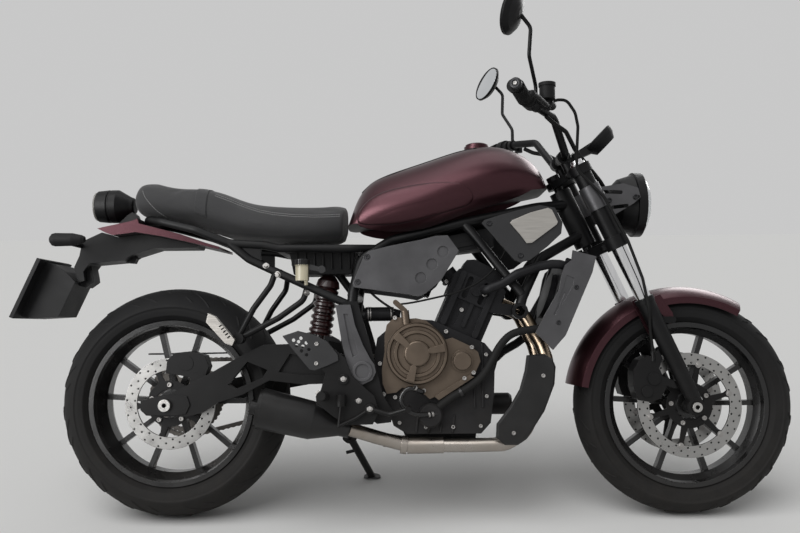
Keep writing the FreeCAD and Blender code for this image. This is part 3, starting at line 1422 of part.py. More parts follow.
def build_footrests():
    """Rider's pegs on their plates, the pedals and the pillion's folded pegs."""
    plane = size("guard_plane") - size("joint_gap")
    plate = slab(pivot_outline([
        (418, 356), (405, 341), (407, 323), (448, 290), (486, 266), (552, 268), (568, 300), (556, 340),
        (530, 363), (498, 392), (480, 440), (440, 470), (405, 478), (400, 430), (430, 400),
    ]), -plane, -plane + fine(6))
    hub = disc(*pivot_outline([(477, 384)])[0], fine(13), -plane - fine(6), -plane)
    spacer_x, spacer_z = pivot_outline([(512, 330)])[0]
    cover_in = size("plate_plane") + size("plate_thickness")
    spacer = disc(spacer_x, spacer_z, fine(12), -plane, -cover_in - size("joint_gap"))
    peg_x, peg_z = pivot_outline([(428, 340)])[0]
    reach = size("peg_reach")
    peg = rod((peg_x, -plane, peg_z), (peg_x, -reach, peg_z + fine(8)), fine(11))
    pieces = [plate, hub, spacer, peg]
    for share in (0.25, 0.4, 0.55, 0.7, 0.85):
        y = -plane - (reach - plane) * share
        pieces.append(disc(peg_x, peg_z + fine(8) * share, fine(13), y - fine(3), y + fine(3)))
    keep_shape("rider_footrests", *both_sides(fused(*pieces)))
    bolt_x, bolt_z = pivot_outline([(545, 308)])[0]
    near = plane + fine(1)
    pedal = tube([
        (bolt_x, -near - fine(6), bolt_z), (bolt_x + fine(50), -near - fine(10), bolt_z - fine(14)),
        (bolt_x + fine(100), -near - fine(26), bolt_z + fine(2)),
    ], fine(6), fine(20))
    toe_x = bolt_x + fine(98)
    toe_z = bolt_z + fine(2)
    toe = disc(toe_x, toe_z, fine(8), -near - fine(60), -near - fine(18))
    boss = disc(bolt_x, bolt_z, fine(13), -near - fine(12), -near)
    cylinder_x, cylinder_z = pivot_outline([(471, 346)])[0]
    body = rod((cylinder_x, -near - fine(14), cylinder_z - fine(30)),
               (cylinder_x, -near - fine(14), cylinder_z), fine(13))
    pushrod = rod((cylinder_x - fine(6), -near - fine(14), cylinder_z - fine(82)),
                  (cylinder_x, -near - fine(14), cylinder_z - fine(29)), fine(4))
    tie = tube([
        (cylinder_x - fine(6), -near - fine(14), cylinder_z - fine(80)),
        (cylinder_x + fine(36), -near - fine(10), cylinder_z - fine(62)),
        (bolt_x, -near - fine(6), bolt_z),
    ], fine(4), fine(12))
    keep_shape("foot_levers", *both_sides(fused(pedal, toe, boss, body, pushrod, tie)))
    half = size("rail_half_width")
    inside = half * 1.27 + fine(27)
    foot = body_outline([(127, 556), (145, 548), (197, 487), (190, 472), (172, 478), (122, 533)])
    keep_shape("pillion_pegs", *both_sides(slab(foot, -inside - fine(20), -inside)))


def build_tail():
    """The round tail lamp on its post, the cowl, the plate holder and the indicators."""
    tail_centre = spot(-238, 0, 866)
    lamp = turned([(fine(d), fine(r)) for d, r in (
        (0, 36), (6, 44), (36, 47), (38, 44), (41, 44), (43, 47), (62, 47), (96, 27), (104, 24),
        (108, 20),
    )], tail_centre, AHEAD)
    stalk = slab(body_outline([(-190, 797), (-150, 838), (-136, 850), (-124, 840), (-112, 813)]),
                 -fine(15), fine(15))
    keep_shape("tail_lamp", fused(lamp, stalk))
    cowl_half = size("rail_half_width") * 0.74
    cowl = slab(body_outline([
        (-206, 793), (-190, 797), (-112, 813), (-96, 820), (-92, 806), (22, 776), (90, 752), (130, 740),
        (130, 733), (60, 750), (-28, 770), (-100, 782), (-163, 774), (-180, 780),
    ]), -cowl_half, cowl_half)
    keep_shape("tail_cowl", cowl)
    narrow = fine(46)
    fin = slab(body_outline([
        (-163, 773), (-100, 781), (-28, 769), (60, 749), (56, 742), (-60, 742), (-125, 722), (-147, 708),
        (-242, 700), (-258, 678), (-254, 652), (-272, 648), (-284, 690), (-270, 722), (-263, 762),
        (-208, 787),
        (-180, 779),
    ]), -narrow, narrow)
    tab = slab(body_outline([(-246, 702), (-238, 664), (-236, 650), (-258, 634), (-278, 640),
                             (-286, 700)]),
               -fine(24), fine(24))
    box = slab(body_outline([
        (-358, 703), (-330, 697), (-300, 676), (-274, 648), (-318, 552), (-400, 548), (-424, 556),
    ]), -fine(62), fine(62))
    hollow = slab(body_outline([
        (-340, 690), (-308, 668), (-286, 644), (-322, 562), (-392, 558),
    ]), -fine(58), fine(58))
    plate_half = fine(105)
    plate = slab(body_outline([(-362, 712), (-352, 708), (-424, 548), (-434, 552)]), -plate_half,
                 plate_half)
    hook = slab(body_outline([(-153, 724), (-128, 730), (-121, 716), (-128, 702), (-150, 704)]),
                -fine(12), fine(12))
    holder = cut_by(fused(fin, tab, box, plate, hook), hollow)
    keep_shape("plate_holder", holder)
    lamps = []
    for sign in SIDES:
        middle = size("rail_half_width") + fine(32)
        root = narrow + size("joint_gap")
        bullet = turned([(fine(d), fine(r)) for d,
                         r in ((0, 9), (6, 16), (14, 18), (60, 17), (84, 12), (92, 8))],
                        (station(-307), sign * middle, level(756)), AHEAD)
        stem = rod((station(-266), sign * root, level(750)), (station(-266), sign * middle, level(750)),
                   fine(7))
        lamps.append(fused(bullet, stem))
    keep_shape("rear_indicators", *lamps)


def build_rear_brake():
    """Caliper over the rear disc, its fluid cup and hose, and the rear shock."""
    plane = size("rear_disc_plane")
    slot_half = size("disc_thickness") / 2 + size("pad_gap")
    arm_face = size("arm_inner_right") - size("joint_gap")
    body = slab(rear_outline([
        (-8, 398), (-4, 432), (16, 452), (60, 456), (98, 444), (108, 414), (96, 384), (60, 386),
        (30, 392),
    ]), -plane - fine(22), -plane + fine(22))
    piston = disc(*rear_outline([(47, 424)])[0], fine(20), -plane - fine(23), -plane + fine(24))
    body = fused(body, piston)
    gap = disc(0, size("rear_tyre_radius"), size("rear_disc_radius") + fine(6), -plane - slot_half,
               -plane + slot_half)
    body = body.cut(gap)
    lug = slab(rear_outline([(60, 400), (58, 366), (88, 360), (102, 392)]), -arm_face, -plane - slot_half)
    arm_lug = fused(body, lug)
    keep_shape("rear_caliper", arm_lug)
    cup_x = station(366)
    cup_y = -size("panel_plane")
    low = level(641)
    cup = disc_up(cup_x, cup_y, low, low + fine(40), fine(18))
    lid = disc_up(cup_x, cup_y, low + fine(39), low + fine(56), fine(19.5))
    spout = disc_up(cup_x + fine(10), cup_y, low - fine(12), low + fine(2), fine(5))
    strap = slab(body_outline([(372, 672), (372, 688), (415, 676), (415, 664)]), cup_y - fine(4), cup_y)
    eye = disc(station(418), level(670), fine(10), cup_y - fine(5), cup_y)
    keep_shape("brake_reservoir", fused(cup, lid, spout, strap, eye))
    shock_low = arm_outline([(392, 470)])[0]
    shock_top = spot(424, 0, 664)
    low_point = Vector(shock_low[0], 0, shock_low[1])
    line = (shock_top - low_point)
    length = line.Length
    profile = [(0, fine(14)), (length * 0.14, fine(14)), (length * 0.14, fine(34))]
    coils = 7
    for index in range(coils):
        start = length * (0.16 + 0.66 * index / coils)
        step = length * 0.66 / coils
        profile += [(start, fine(27)), (start + step * 0.25, fine(33)), (start + step * 0.6, fine(33)),
                    (start + step * 0.85, fine(27))]
    profile += [(length * 0.83, fine(34)), (length * 0.92, fine(30)), (length, fine(16))]
    keep_shape("rear_shock", turned(profile, low_point, line))


def disc_up(x, y, low, high, radius):
    return rod((x, y, low), (x, y, high), radius)


# Fork and front wheel

def caliper_lugs():
    """Where the front caliper bolts to the fork lower."""
    return front_spot(1322, 0, 448), front_spot(1356, 0, 358)


def fender_lugs():
    """Where the front fender bolts to the fork lower."""
    return front_spot(1361, 0, 531), front_spot(1314, 0, 491)


def build_yokes():
    """Top and bottom yokes on a bored stem, the fork covers and the bar risers."""
    top = size("top_yoke_height")
    low = size("bottom_yoke_height")
    cover = size("fork_cover_radius")
    bore = size("stem_bore_radius")
    offset = size("fork_offset")
    pieces = [rod(on_stem(low) - STEERING_UP * fine(20), on_stem(top) + STEERING_UP * fine(18),
                  size("stem_radius"))]
    for height, thick in ((top, fine(26)), (low, fine(34))):
        centre = on_stem(height)
        for sign in SIDES:
            leg = on_leg(height, sign * FORK_Y)
            half = STEERING_UP * (thick / 2)
            pieces.append(rod(leg - half, leg + half, cover + fine(6)))
            pinch = leg - STEERING_AHEAD * (cover + fine(7)) - ACROSS * sign * fine(12)
            pieces.append(rod(pinch - ACROSS * fine(12), pinch + ACROSS * fine(12), fine(8)))
        web_half = STEERING_UP * (thick / 2 - fine(3))
        pieces.append(rod(centre - web_half, centre + web_half, fine(28)))
        corners = [
            centre - STEERING_AHEAD * fine(20) - ACROSS * fine(30),
            centre + STEERING_AHEAD * (offset - fine(22)) - ACROSS * FORK_Y,
            centre + STEERING_AHEAD * (offset + fine(18)) - ACROSS * FORK_Y,
            centre + STEERING_AHEAD * (offset + fine(18)) + ACROSS * FORK_Y,
            centre + STEERING_AHEAD * (offset - fine(22)) + ACROSS * FORK_Y,
            centre - STEERING_AHEAD * fine(20) + ACROSS * fine(30),
        ]
        base = [corner - web_half for corner in corners]
        pieces.append(Part.Face(Part.makePolygon(base + [base[0]])).extrude(web_half * 2))
    nut = on_stem(top) + STEERING_UP * fine(12)
    pieces.append(rod(nut, nut + STEERING_UP * fine(14), fine(19)))
    for sign in SIDES:
        pieces.append(rod(on_leg(low, sign * FORK_Y), on_leg(top, sign * FORK_Y), cover))
        foot = bar_clamp() + ACROSS * sign * fine(45) - STEERING_UP * fine(56)
        pieces.append(rod(foot, foot + STEERING_UP * fine(56), fine(14)))
        clamp = bar_clamp() + ACROSS * sign * fine(45)
        pieces.append(rod(clamp - ACROSS * fine(14), clamp + ACROSS * fine(14),
                          size("bar_radius") + fine(8)))
        stop = on_stem(low) - STEERING_AHEAD * fine(14) + ACROSS * sign * fine(34)
        pieces.append(rod(stop, stop + STEERING_UP * fine(20), fine(6)))
    yokes = fused(*pieces)
    for sign in SIDES:
        start = on_leg(low, sign * FORK_Y) - STEERING_UP * fine(40)
        end = on_leg(top, sign * FORK_Y) + STEERING_UP * fine(40)
        yokes = yokes.cut(rod(start, end, size("fork_tube_radius") + size("joint_gap")))
    clamp = bar_clamp()
    yokes = yokes.cut(rod(clamp - ACROSS * FORK_Y, clamp + ACROSS * FORK_Y,
                          size("bar_radius") + size("joint_gap")))
    yokes = yokes.cut(rod(on_stem(low) - STEERING_UP * fine(40), on_stem(top) + STEERING_UP * fine(60),
                          bore))
    keep_shape("fork_yokes", yokes)


def build_legs():
    """Chromed tubes with their caps, and cast lowers with lugs for axle, brake and fender."""
    top = size("top_yoke_height")
    seal = size("seal_height")
    tube_radius = size("fork_tube_radius")
    lower_radius = size("fork_lower_radius")
    axle = Vector(WHEELBASE, 0, size("front_tyre_radius"))
    lug_in = FORK_Y - fine(20)
    lug_out = FORK_Y - fine(8.2)
    tubes = []
    lowers = []
    for sign in SIDES:
        side = sign * FORK_Y
        head = on_leg(top, side) + STEERING_UP * fine(20)
        leg_top = on_leg(seal, side)
        shaft = rod(leg_top + STEERING_UP * fine(0.5), head, tube_radius)
        cap = rod(head - STEERING_UP * fine(1), head + STEERING_UP * fine(8), fine(16))
        tubes.append(fused(shaft, cap))
        knee = on_leg(axle.z + fine(60), side)
        foot = axle + ACROSS * side + STEERING_AHEAD * fine(8) - STEERING_UP * fine(4)
        pieces = [
            rod(knee, leg_top - STEERING_UP * fine(14), fine(21), lower_radius - fine(2)),
            rod(leg_top - STEERING_UP * fine(15), leg_top, lower_radius),
            rod(foot, on_leg(axle.z + fine(62), side), fine(19), fine(21)),
            disc(axle.x, axle.z, fine(23), side - fine(21), side + fine(21)),
        ]
        for lug in caliper_lugs():
            on_line = on_leg(lug.z, 0)
            pieces.append(slot((lug.x, lug.z), (on_line.x, on_line.z), fine(11), sign * lug_in,
                               sign * lug_out))
        for lug in fender_lugs():
            on_line = on_leg(lug.z, 0)
            pieces.append(slot((lug.x, lug.z), (on_line.x, on_line.z), fine(9),
                               sign * (FORK_Y - fine(27.4)), sign * (FORK_Y - fine(12))))
        lower = fused(*pieces)
        lower = lower.cut(disc(axle.x, axle.z, size("front_axle_radius"), side - fine(40),
                               side + fine(40)))
        lower = lower.cut(disc(axle.x, axle.z, fine(15), side - sign * fine(21), side - sign * fine(40)))
        lower = lower.cut(disc(axle.x, axle.z, fine(15), sign * (FORK_Y + fine(20)),
                               sign * (FORK_Y + fine(40))))
        lowers.append(lower)
    keep_shape("fork_tubes", *tubes)
    keep_shape("fork_lowers", *lowers)


def build_front_brake():
    """A radially slotted caliper each side, with its ears outside the fork lower's lugs."""
    plane = size("front_disc_plane")
    slot_half = size("disc_thickness") / 2 + size("pad_gap")
    ear_in = FORK_Y - fine(8)
    outside = FORK_Y + fine(3)
    inside = plane - slot_half - fine(11)
    body = slab(front_outline([
        (1246, 352), (1246, 396), (1262, 424), (1288, 436), (1302, 424), (1318, 396), (1328, 372),
        (1334, 352),
        (1318, 322), (1290, 312), (1256, 318),
    ]), -outside, -inside)
    pieces = [body]
    for x, z, radius in ((1301, 374, 17), (1281, 340, 15)):
        place = front_spot(x, 0, z)
        pieces.append(disc(place.x, place.z, fine(radius), -outside - fine(4), -outside + 1))
        pieces.append(disc(place.x, place.z, fine(radius), -inside - 1, -inside + fine(4)))
    reach = size("front_tyre_radius")
    for lug in caliper_lugs():
        toward = front_spot(1296, 0, 380)
        pieces.append(slot((lug.x, lug.z), (toward.x, toward.z), fine(10), -outside, -ear_in))
    caliper = fused(*pieces)
    gap = disc(WHEELBASE, reach, size("front_disc_radius") + fine(6), -plane - slot_half,
               -plane + slot_half)
    caliper = caliper.cut(gap)
    near_leg = []
    for low, high in ((reach - fine(20), size("seal_height")),):
        near_leg.append(rod(on_leg(low, -FORK_Y), on_leg(high, -FORK_Y),
                            size("fork_lower_radius") + fine(1)))
    caliper = cut_by(caliper, *near_leg)
    banjo = front_spot(1300, -106, 446)
    caliper = caliper.fuse(rod((banjo.x, -outside + fine(2), banjo.z - fine(26)),
                               (banjo.x, -outside + fine(2), banjo.z), fine(6)))
    keep_shape("front_calipers", *both_sides(caliper))


def build_hoses():
    """The brake hose from master cylinder to caliper, and a loom from each bar cluster."""
    outside = FORK_Y + fine(1)
    start = front_spot(1300, 0, 446.3)
    hose = tube([
        (start.x, -outside, start.z), (start.x - fine(1), -outside, start.z + fine(14)),
        (start.x - fine(8), -outside - fine(10), start.z + fine(54)),
        on_leg(560, -FORK_Y - fine(34), -fine(10)), on_leg(640, -FORK_Y - fine(36), fine(12)),
        on_leg(742, -FORK_Y - fine(32), fine(24)), on_leg(860, -FORK_Y - fine(34), fine(18)),
        head_spot(1100, -142, 935), head_spot(1098, -160, 980), head_spot(1096, -190, 1040),
        head_spot(1086, -206, 1073), head_spot(1063, -214, 1104), head_spot(1036, -218, 1104),
        head_spot(1020, -212, 1096),
    ], fine(4), fine(40))
    looms = []
    for sign in SIDES:
        looms.append(tube([
            head_spot(1012, sign * 196, 1066), head_spot(1036, sign * 180, 1050),
            head_spot(1072, sign * 150, 1036),
            head_spot(1112, sign * 84, 996), head_spot(1180, sign * 62, 918),
            head_spot(1212, sign * 34, 880),
        ], fine(6), fine(40)))
    keep_shape("control_hoses", hose, *looms)


def build_fender():
    """A thin mudguard round the top and back of the front tyre, with drilled ears."""
    radius = size("front_tyre_radius") + size("fender_gap")
    wall = size("fender_wall")
    half = size("front_tyre_width") / 2 + fine(8)
    skirt = size("front_tyre_radius") - fine(24)
    shoulder = radius - fine(26)

    def half_section(reach, top, low):
        return [Vector(0, reach, low), Vector(0, reach, shoulder), Vector(0, 0, top)]

    outer = half_section(half + wall, radius + wall, skirt)
    inner = half_section(half, radius, skirt)

    def across(point):
        return Vector(point.x, -point.y, point.z)

    edges = [
        Part.LineSegment(outer[0], outer[1]).toShape(),
        Part.Arc(outer[1], outer[2], across(outer[1])).toShape(),
        Part.LineSegment(across(outer[1]), across(outer[0])).toShape(),
        Part.LineSegment(across(outer[0]), across(inner[0])).toShape(),
        Part.LineSegment(across(inner[0]), across(inner[1])).toShape(),
        Part.Arc(across(inner[1]), inner[2], inner[1]).toShape(),
        Part.LineSegment(inner[1], inner[0]).toShape(),
        Part.LineSegment(inner[0], outer[0]).toShape(),
    ]
    face = Part.Face(Part.Wire(edges))
    face.rotate(CENTRE, ACROSS, 30)
    shell = face.revolve(CENTRE, ACROSS, -110)
    shell.translate(Vector(WHEELBASE, 0, size("front_tyre_radius")))
    ear_out = FORK_Y - fine(27.5)
    front_ear = front_outline([
        (1316, 594), (1333, 601), (1366, 550), (1370, 526), (1358, 520), (1342, 540), (1312, 572),
    ])
    rear_ear = front_outline([
        (1256, 582), (1270, 590), (1300, 545), (1324, 500), (1320, 484), (1306, 480), (1290, 508),
    ])
    ears = []
    for sign in SIDES:
        for outline in (front_ear, rear_ear):
            ears.append(slab(outline, sign * (half + wall - 1), sign * ear_out))
    shape = fused(shell, *ears)
    for lug in fender_lugs():
        shape = shape.cut(disc(lug.x, lug.z, fine(3), -FORK_Y, FORK_Y))
    keep_shape("front_fender", shape)


# Bars and lamp

def bar_clamp():
    """The middle of the handlebar, where the risers hold it."""
    return on_stem(size("top_yoke_height")) + STEERING_AHEAD * fine(40) + STEERING_UP * fine(56)


def grip_line(sign):
    """The outer end of one grip and the direction toward the bike's middle."""
    reach = size("bar_half_width")
    end = head_spot(900, 0, 1090)
    inner = head_spot(958, 0, 1086)
    outer = Vector(end.x, sign * reach, end.z)
    inward = (Vector(inner.x, sign * (reach - size("grip_length")), inner.z) - outer).normalize()
    return outer, inward


def build_bars():
    """A bent bar with its grips, end weights, controls and mirrors."""
    grip = size("grip_length")
    bar_radius = size("bar_radius")
    bore = bar_radius + size("joint_gap")
    clamp = bar_clamp()
    elbow = head_spot(1040, 150, 1074)
    points = []
    for sign in SIDES:
        outer, inward = grip_line(sign)
        side = [outer, outer + inward * (grip + fine(86)), Vector(elbow.x, sign * elbow.y, elbow.z),
                Vector(clamp.x, sign * fine(82), clamp.z)]
        points += side if sign < 0 else side[::-1]
    keep_shape("handlebar", tube(points, bar_radius, fine(30)))
    grips = []
    controls = []
    mirrors = []
    for sign in SIDES:
        outer, inward = grip_line(sign)
        start = outer + inward * fine(10)
        sleeve = rod(start, outer + inward * grip, size("grip_radius"))
        collar = rod(outer + inward * (grip - fine(6)), outer + inward * grip,
                     size("grip_radius") + fine(5))
        weight = rod(outer - inward * fine(1), start + inward * fine(0.5), size("grip_radius") + fine(1))
        drill = rod(outer, outer + inward * (grip + fine(5)), bore)
        grips.append(fused(sleeve, collar, weight).cut(drill))
        controls.append(bar_controls(sign, outer, inward, grip).cut(
            rod(outer + inward * (grip - fine(5)), outer + inward * (grip + fine(56)), bore)))
        mirrors.append(bar_mirror(sign, outer, inward, grip))
    keep_shape("grips", *grips)
    keep_shape("bar_controls", *controls)
    keep_shape("mirrors", *mirrors)


def bar_controls(sign, outer, inward, grip):
    """A switch housing, a lever on its perch and, on the right, the brake's fluid cup."""
    start = outer + inward * (grip + fine(1))
    housing = rod(start, start + inward * fine(28), fine(23))
    perch_from = start + inward * fine(27)
    perch = rod(perch_from, perch_from + inward * fine(22), fine(18))
    middle = perch_from + inward * fine(11)
    blade_root = middle + AHEAD * fine(36) - UPRIGHT * fine(6)
    arm = rod(middle + AHEAD * fine(10), blade_root, fine(10))
    blade = tube([
        blade_root, blade_root + Vector(-fine(8), sign * fine(34), -fine(8)),
        blade_root + Vector(-fine(40), sign * fine(108), -fine(10)),
        blade_root + Vector(-fine(62), sign * fine(146), -fine(10)),
    ], fine(6), fine(30))
    ball = Part.makeSphere(fine(8), blade_root + Vector(-fine(62), sign * fine(146), -fine(10)))
    knuckle = rod(blade_root - UPRIGHT * fine(12), blade_root + UPRIGHT * fine(12), fine(9))
    pieces = [housing, perch, arm, blade, ball, knuckle]
    if sign < 0:
        barrel = blade_root + AHEAD * fine(2) + UPRIGHT * fine(8)
        pieces.append(rod(barrel, barrel + inward * fine(38), fine(11)))
        cup = barrel - inward * fine(6) + UPRIGHT * fine(6)
        pieces.append(rod(cup, cup + UPRIGHT * fine(34), fine(20)))
        pieces.append(rod(cup + UPRIGHT * fine(33), cup + UPRIGHT * fine(42), fine(22)))
    return fused(*pieces)


def bar_mirror(sign, outer, inward, grip):
    """A round mirror on a bent stem that springs from a clamp on the bar."""
    clamp_from = outer + inward * (grip + fine(58))
    clamp = rod(clamp_from, clamp_from + inward * fine(12), fine(16))
    hold = clamp_from + inward * fine(6)
    head = head_spot(909, 0, 1307) + ACROSS * sign * size("mirror_reach")
    elbow = head + Vector(fine(51), -sign * fine(8), -fine(39))
    stem = tube([
        hold + UPRIGHT * fine(12), hold + UPRIGHT * fine(52),
        head_spot(956, 0, 1200) + ACROSS * sign * (size("mirror_reach") - fine(20)),
        elbow, head + Vector(fine(22), 0, -fine(4)),
    ], fine(5), fine(24))
    facing = Rotation(UPRIGHT, sign * 26).multVec(Vector(-math.cos(math.radians(20)), 0,
                                                         math.sin(math.radians(20))))
    radius = size("mirror_radius")
    shell = turned([
        (0, radius), (fine(5), radius + fine(1)), (fine(16), radius * 0.8), (fine(25), radius * 0.4),
        (fine(28), radius * 0.18),
    ], head, facing * -1)
    shape = fused(clamp, stem, shell)
    return shape.cut(rod(clamp_from - inward * fine(2), clamp_from + inward * fine(16),
                         size("bar_radius") + size("joint_gap")))


def build_lamp():
    """The round headlamp between the fork covers, its lens, brackets and the instrument."""
    radius = size("lamp_radius")
    height = size("lamp_height")
    leg = on_leg(height, 0)
    face = leg.x + size("lamp_reach")
    shell = turned([
        (fine(6), radius * 0.2), (fine(12), radius * 0.55), (fine(34), radius * 0.8),
        (fine(72), radius * 0.93),
        (fine(74), radius), (fine(96), radius), (fine(98), radius * 0.96),
    ], (face - fine(98), 0, height), AHEAD)
    boss = head_spot(1276, 0, 867)
    trunnion = disc(boss.x, height + fine(9), fine(9), -radius - fine(2), radius + fine(2))
    bowl_cut = rod((face - fine(16), 0, height), (face + fine(4), 0, height), radius * 0.9)
    keep_shape("headlamp_shell", fused(shell, trunnion).cut(bowl_cut))
    lens = turned([
        (fine(0.4), radius * 0.895), (fine(16), radius * 0.895), (fine(26), radius * 0.8),
        (fine(34), radius * 0.6),
        (fine(39), radius * 0.36), (fine(40.5), radius * 0.14),
    ], (face - fine(16), 0, height), AHEAD)
    keep_shape("headlamp_lens", lens)
    build_lamp_brackets(height, boss, radius)
    tilt = math.radians(46)
    up = Vector(-math.sin(tilt), 0, math.cos(tilt))
    centre = head_spot(1202, 0, 1041)
    half = size("meter_depth") / 2
    meter = turned([
        (0, size("meter_radius") * 0.7), (half, size("meter_radius") * 0.94),
        (half * 1.5, size("meter_radius")),
        (half * 2, size("meter_radius")), (half * 2.1, size("meter_radius") * 0.9),
    ], centre - up * half, up)
    stay = slab(head_outline([(1122, 985), (1118, 1004), (1168, 1036), (1196, 1040), (1200, 1020)]),
                -fine(14), fine(14))
    foot = slab(head_outline([(1108, 956), (1104, 990), (1124, 1002), (1130, 960)]), -fine(12), fine(12))
    keep_shape("instrument", fused(meter, stay, foot))


def build_lamp_brackets(height, boss, radius):
    """Arms from split rings on the fork covers to the headlamp's sides, with two slots."""
    cover = size("fork_cover_radius")
    arms = []
    for sign in SIDES:
        leg = on_leg(height + fine(6), sign * FORK_Y)
        up = STEERING_UP * fine(34)
        ring = rod(leg - up, leg + up, cover + fine(4))
        arm = slab(head_outline([
            (1160, 884), (1167, 893), (1236, 904), (1276, 891), (1282, 866), (1264, 849), (1206, 815),
            (1192, 815), (1182, 852),
        ]), sign * (radius + fine(3)), sign * (radius + fine(8)))
        both = fused(ring, arm)
        high_slot = head_outline([(1186, 881), (1229, 879)])
        low_slot = head_outline([(1206, 838), (1244, 842)])
        hole = disc(boss.x, height + fine(9), fine(4), sign * radius, sign * (radius + fine(12)))
        both = cut_by(
            both,
            slot(*high_slot, fine(5), sign * radius, sign * (radius + fine(12))),
            slot(*low_slot, fine(5), sign * radius, sign * (radius + fine(12))),
            rod(leg - up * 2, leg + up * 2, cover + size("joint_gap")), hole,
        )
        arms.append(both)
    keep_shape("headlamp_brackets", *arms)


build_wheels()
build_rear_sprocket()
build_chain()
build_axles()
build_swingarm()
build_side_stand()
build_main_frame()
build_subframe()
build_crankcase()
build_cylinders()
build_engine_covers()
build_sprocket_cover()
build_airbox()
build_radiator()
build_exhaust()
build_tank()
build_seat()
build_panels()
build_foot_guards()
build_footrests()
build_tail()
build_rear_brake()
build_yokes()
build_legs()
build_front_brake()
build_hoses()
build_fender()
build_bars()
build_lamp()

doc.recompute()

faults = [item.Label for item in doc.Objects if "Invalid" in item.State or "Error" in item.State]
for piece in sub_parts:
    if piece.Shape.isNull() or not piece.Shape.isValid():
        faults.append(piece.Label)
if faults:
    raise RuntimeError("these objects failed: " + ", ".join(faults))

os.makedirs("parts", exist_ok=True)
for piece in sub_parts:
    piece.Shape.exportStep(os.path.join("parts", piece.Label + ".step"))
print(len(sub_parts), "sub-parts written")
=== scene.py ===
# %% [markdown]
# # A cafe racer motorcycle, dressed for its portrait
# The engineering model gives every rigid piece at its real size, leaning on its
# side stand. This notebook loads that model as a fixed frame and gives it its
# looks: paint, castings, tread, seams and small fastenings. Nothing from the
# model is moved; a piece that needs more than a finish gets a new mesh beside it
# or in its place.

# %% Load the fixed frame
import bmesh
import bpy
import json
import math
from mathutils import Matrix, Vector
from mathutils.bvhtree import BVHTree


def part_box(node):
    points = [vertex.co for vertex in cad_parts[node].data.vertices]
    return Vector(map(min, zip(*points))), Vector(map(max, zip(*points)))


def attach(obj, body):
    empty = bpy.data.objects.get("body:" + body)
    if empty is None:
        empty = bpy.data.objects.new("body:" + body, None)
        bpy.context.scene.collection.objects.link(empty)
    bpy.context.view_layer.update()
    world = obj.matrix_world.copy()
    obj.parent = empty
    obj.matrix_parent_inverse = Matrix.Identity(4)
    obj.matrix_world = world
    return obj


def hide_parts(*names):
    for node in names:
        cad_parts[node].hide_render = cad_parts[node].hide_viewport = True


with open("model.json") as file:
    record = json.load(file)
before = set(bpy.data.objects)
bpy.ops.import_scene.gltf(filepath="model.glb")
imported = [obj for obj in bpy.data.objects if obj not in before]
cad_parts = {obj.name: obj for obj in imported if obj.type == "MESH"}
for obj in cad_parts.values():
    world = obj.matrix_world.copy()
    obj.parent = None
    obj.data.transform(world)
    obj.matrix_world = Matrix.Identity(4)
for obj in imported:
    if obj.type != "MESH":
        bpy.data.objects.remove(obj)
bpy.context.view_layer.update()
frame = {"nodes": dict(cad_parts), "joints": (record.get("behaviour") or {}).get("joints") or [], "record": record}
NODES = frame["nodes"]
JOINTS = {joint["name"]: joint for joint in frame["joints"]}
print("nodes in the frame:", len(NODES))

# %% [markdown]
# The motorcycle leans, which makes it awkward to measure. Its wheels turn about
# axles that were level before it leaned, so the rear axle's direction says how
# far it leans, and one matrix turns upright coordinates into the leaning place.
# Pieces are modelled upright, X forward, Y to the left and Z up, and then that
# matrix is applied to their mesh.

# %% Find the lean from the rear axle
rear_axis = Vector(JOINTS["rear_wheel_spin"]["axis"])
rear_centre = Vector(JOINTS["rear_wheel_spin"]["pos_m"])
LEAN = math.atan2(-rear_axis.z, rear_axis.y)
tyre_low, tyre_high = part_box("rear_tyre")
REAR_WHEEL = Vector((0, 0, (tyre_high.x - tyre_low.x) / 2))
lean_turn = Matrix.Rotation(-LEAN, 4, "X")
LEANED = Matrix.Translation(rear_centre - lean_turn @ REAR_WHEEL) @ lean_turn
UPRIGHT = LEANED.inverted()
front_centre = UPRIGHT @ Vector(JOINTS["front_wheel_spin"]["pos_m"])
FRONT_WHEEL = Vector((front_centre.x, 0, front_centre.z))
FORWARD = Vector((1, 0, 0))
ACROSS = Vector((0, 1, 0))
print("lean in degrees:", round(math.degrees(LEAN), 2), "front axle:", tuple(front_centre))

# %% [markdown]
# A few small moves come back everywhere, so they are written once: adding an
# object, turning a bmesh into a mesh, measuring a node upright, and adding a
# shader node whose inputs are either plain values or links.

# %% Helpers for objects, meshes and measuring
def add_object(name, data):
    """A new object at the origin, linked to the scene."""
    item = bpy.data.objects.new(name, data)
    bpy.context.scene.collection.objects.link(item)
    return item


def mesh_from(bm, name):
    """The bmesh as a mesh; the bmesh is freed."""
    mesh = bpy.data.meshes.new(name)
    bm.to_mesh(mesh)
    bm.free()
    return mesh


def take_in(bm, mesh):
    """Adds a mesh to a bmesh, then removes the mesh."""
    bm.from_mesh(mesh)
    bpy.data.meshes.remove(mesh)


def evaluated_mesh(item):
    """A new mesh of the object with its modifiers applied."""
    graph = bpy.context.evaluated_depsgraph_get()
    return bpy.data.meshes.new_from_object(item.evaluated_get(graph))


def upright_points(node):
    """The node's vertices in the upright frame."""
    return [UPRIGHT @ vert.co for vert in NODES[node].data.vertices]


def upright_box(node):
    """The lowest and highest corner of a node in the upright frame."""
    points = upright_points(node)
    return [Vector([pick(point[axis] for point in points) for axis in range(3)]) for pick in (min, max)]


def mean(points):
    return sum(points, Vector()) / len(points)


def mm(*values):
    return Vector(values) / 1000


# %% Helpers for shader nodes
def fill(tree, node, inputs):
    """Sets each input to a plain value, or links it when the value is a socket."""
    for label, value in inputs.items():
        if isinstance(value, bpy.types.NodeSocket):
            tree.links.new(value, node.inputs[label])
        else:
            node.inputs[label].default_value = value
    return node


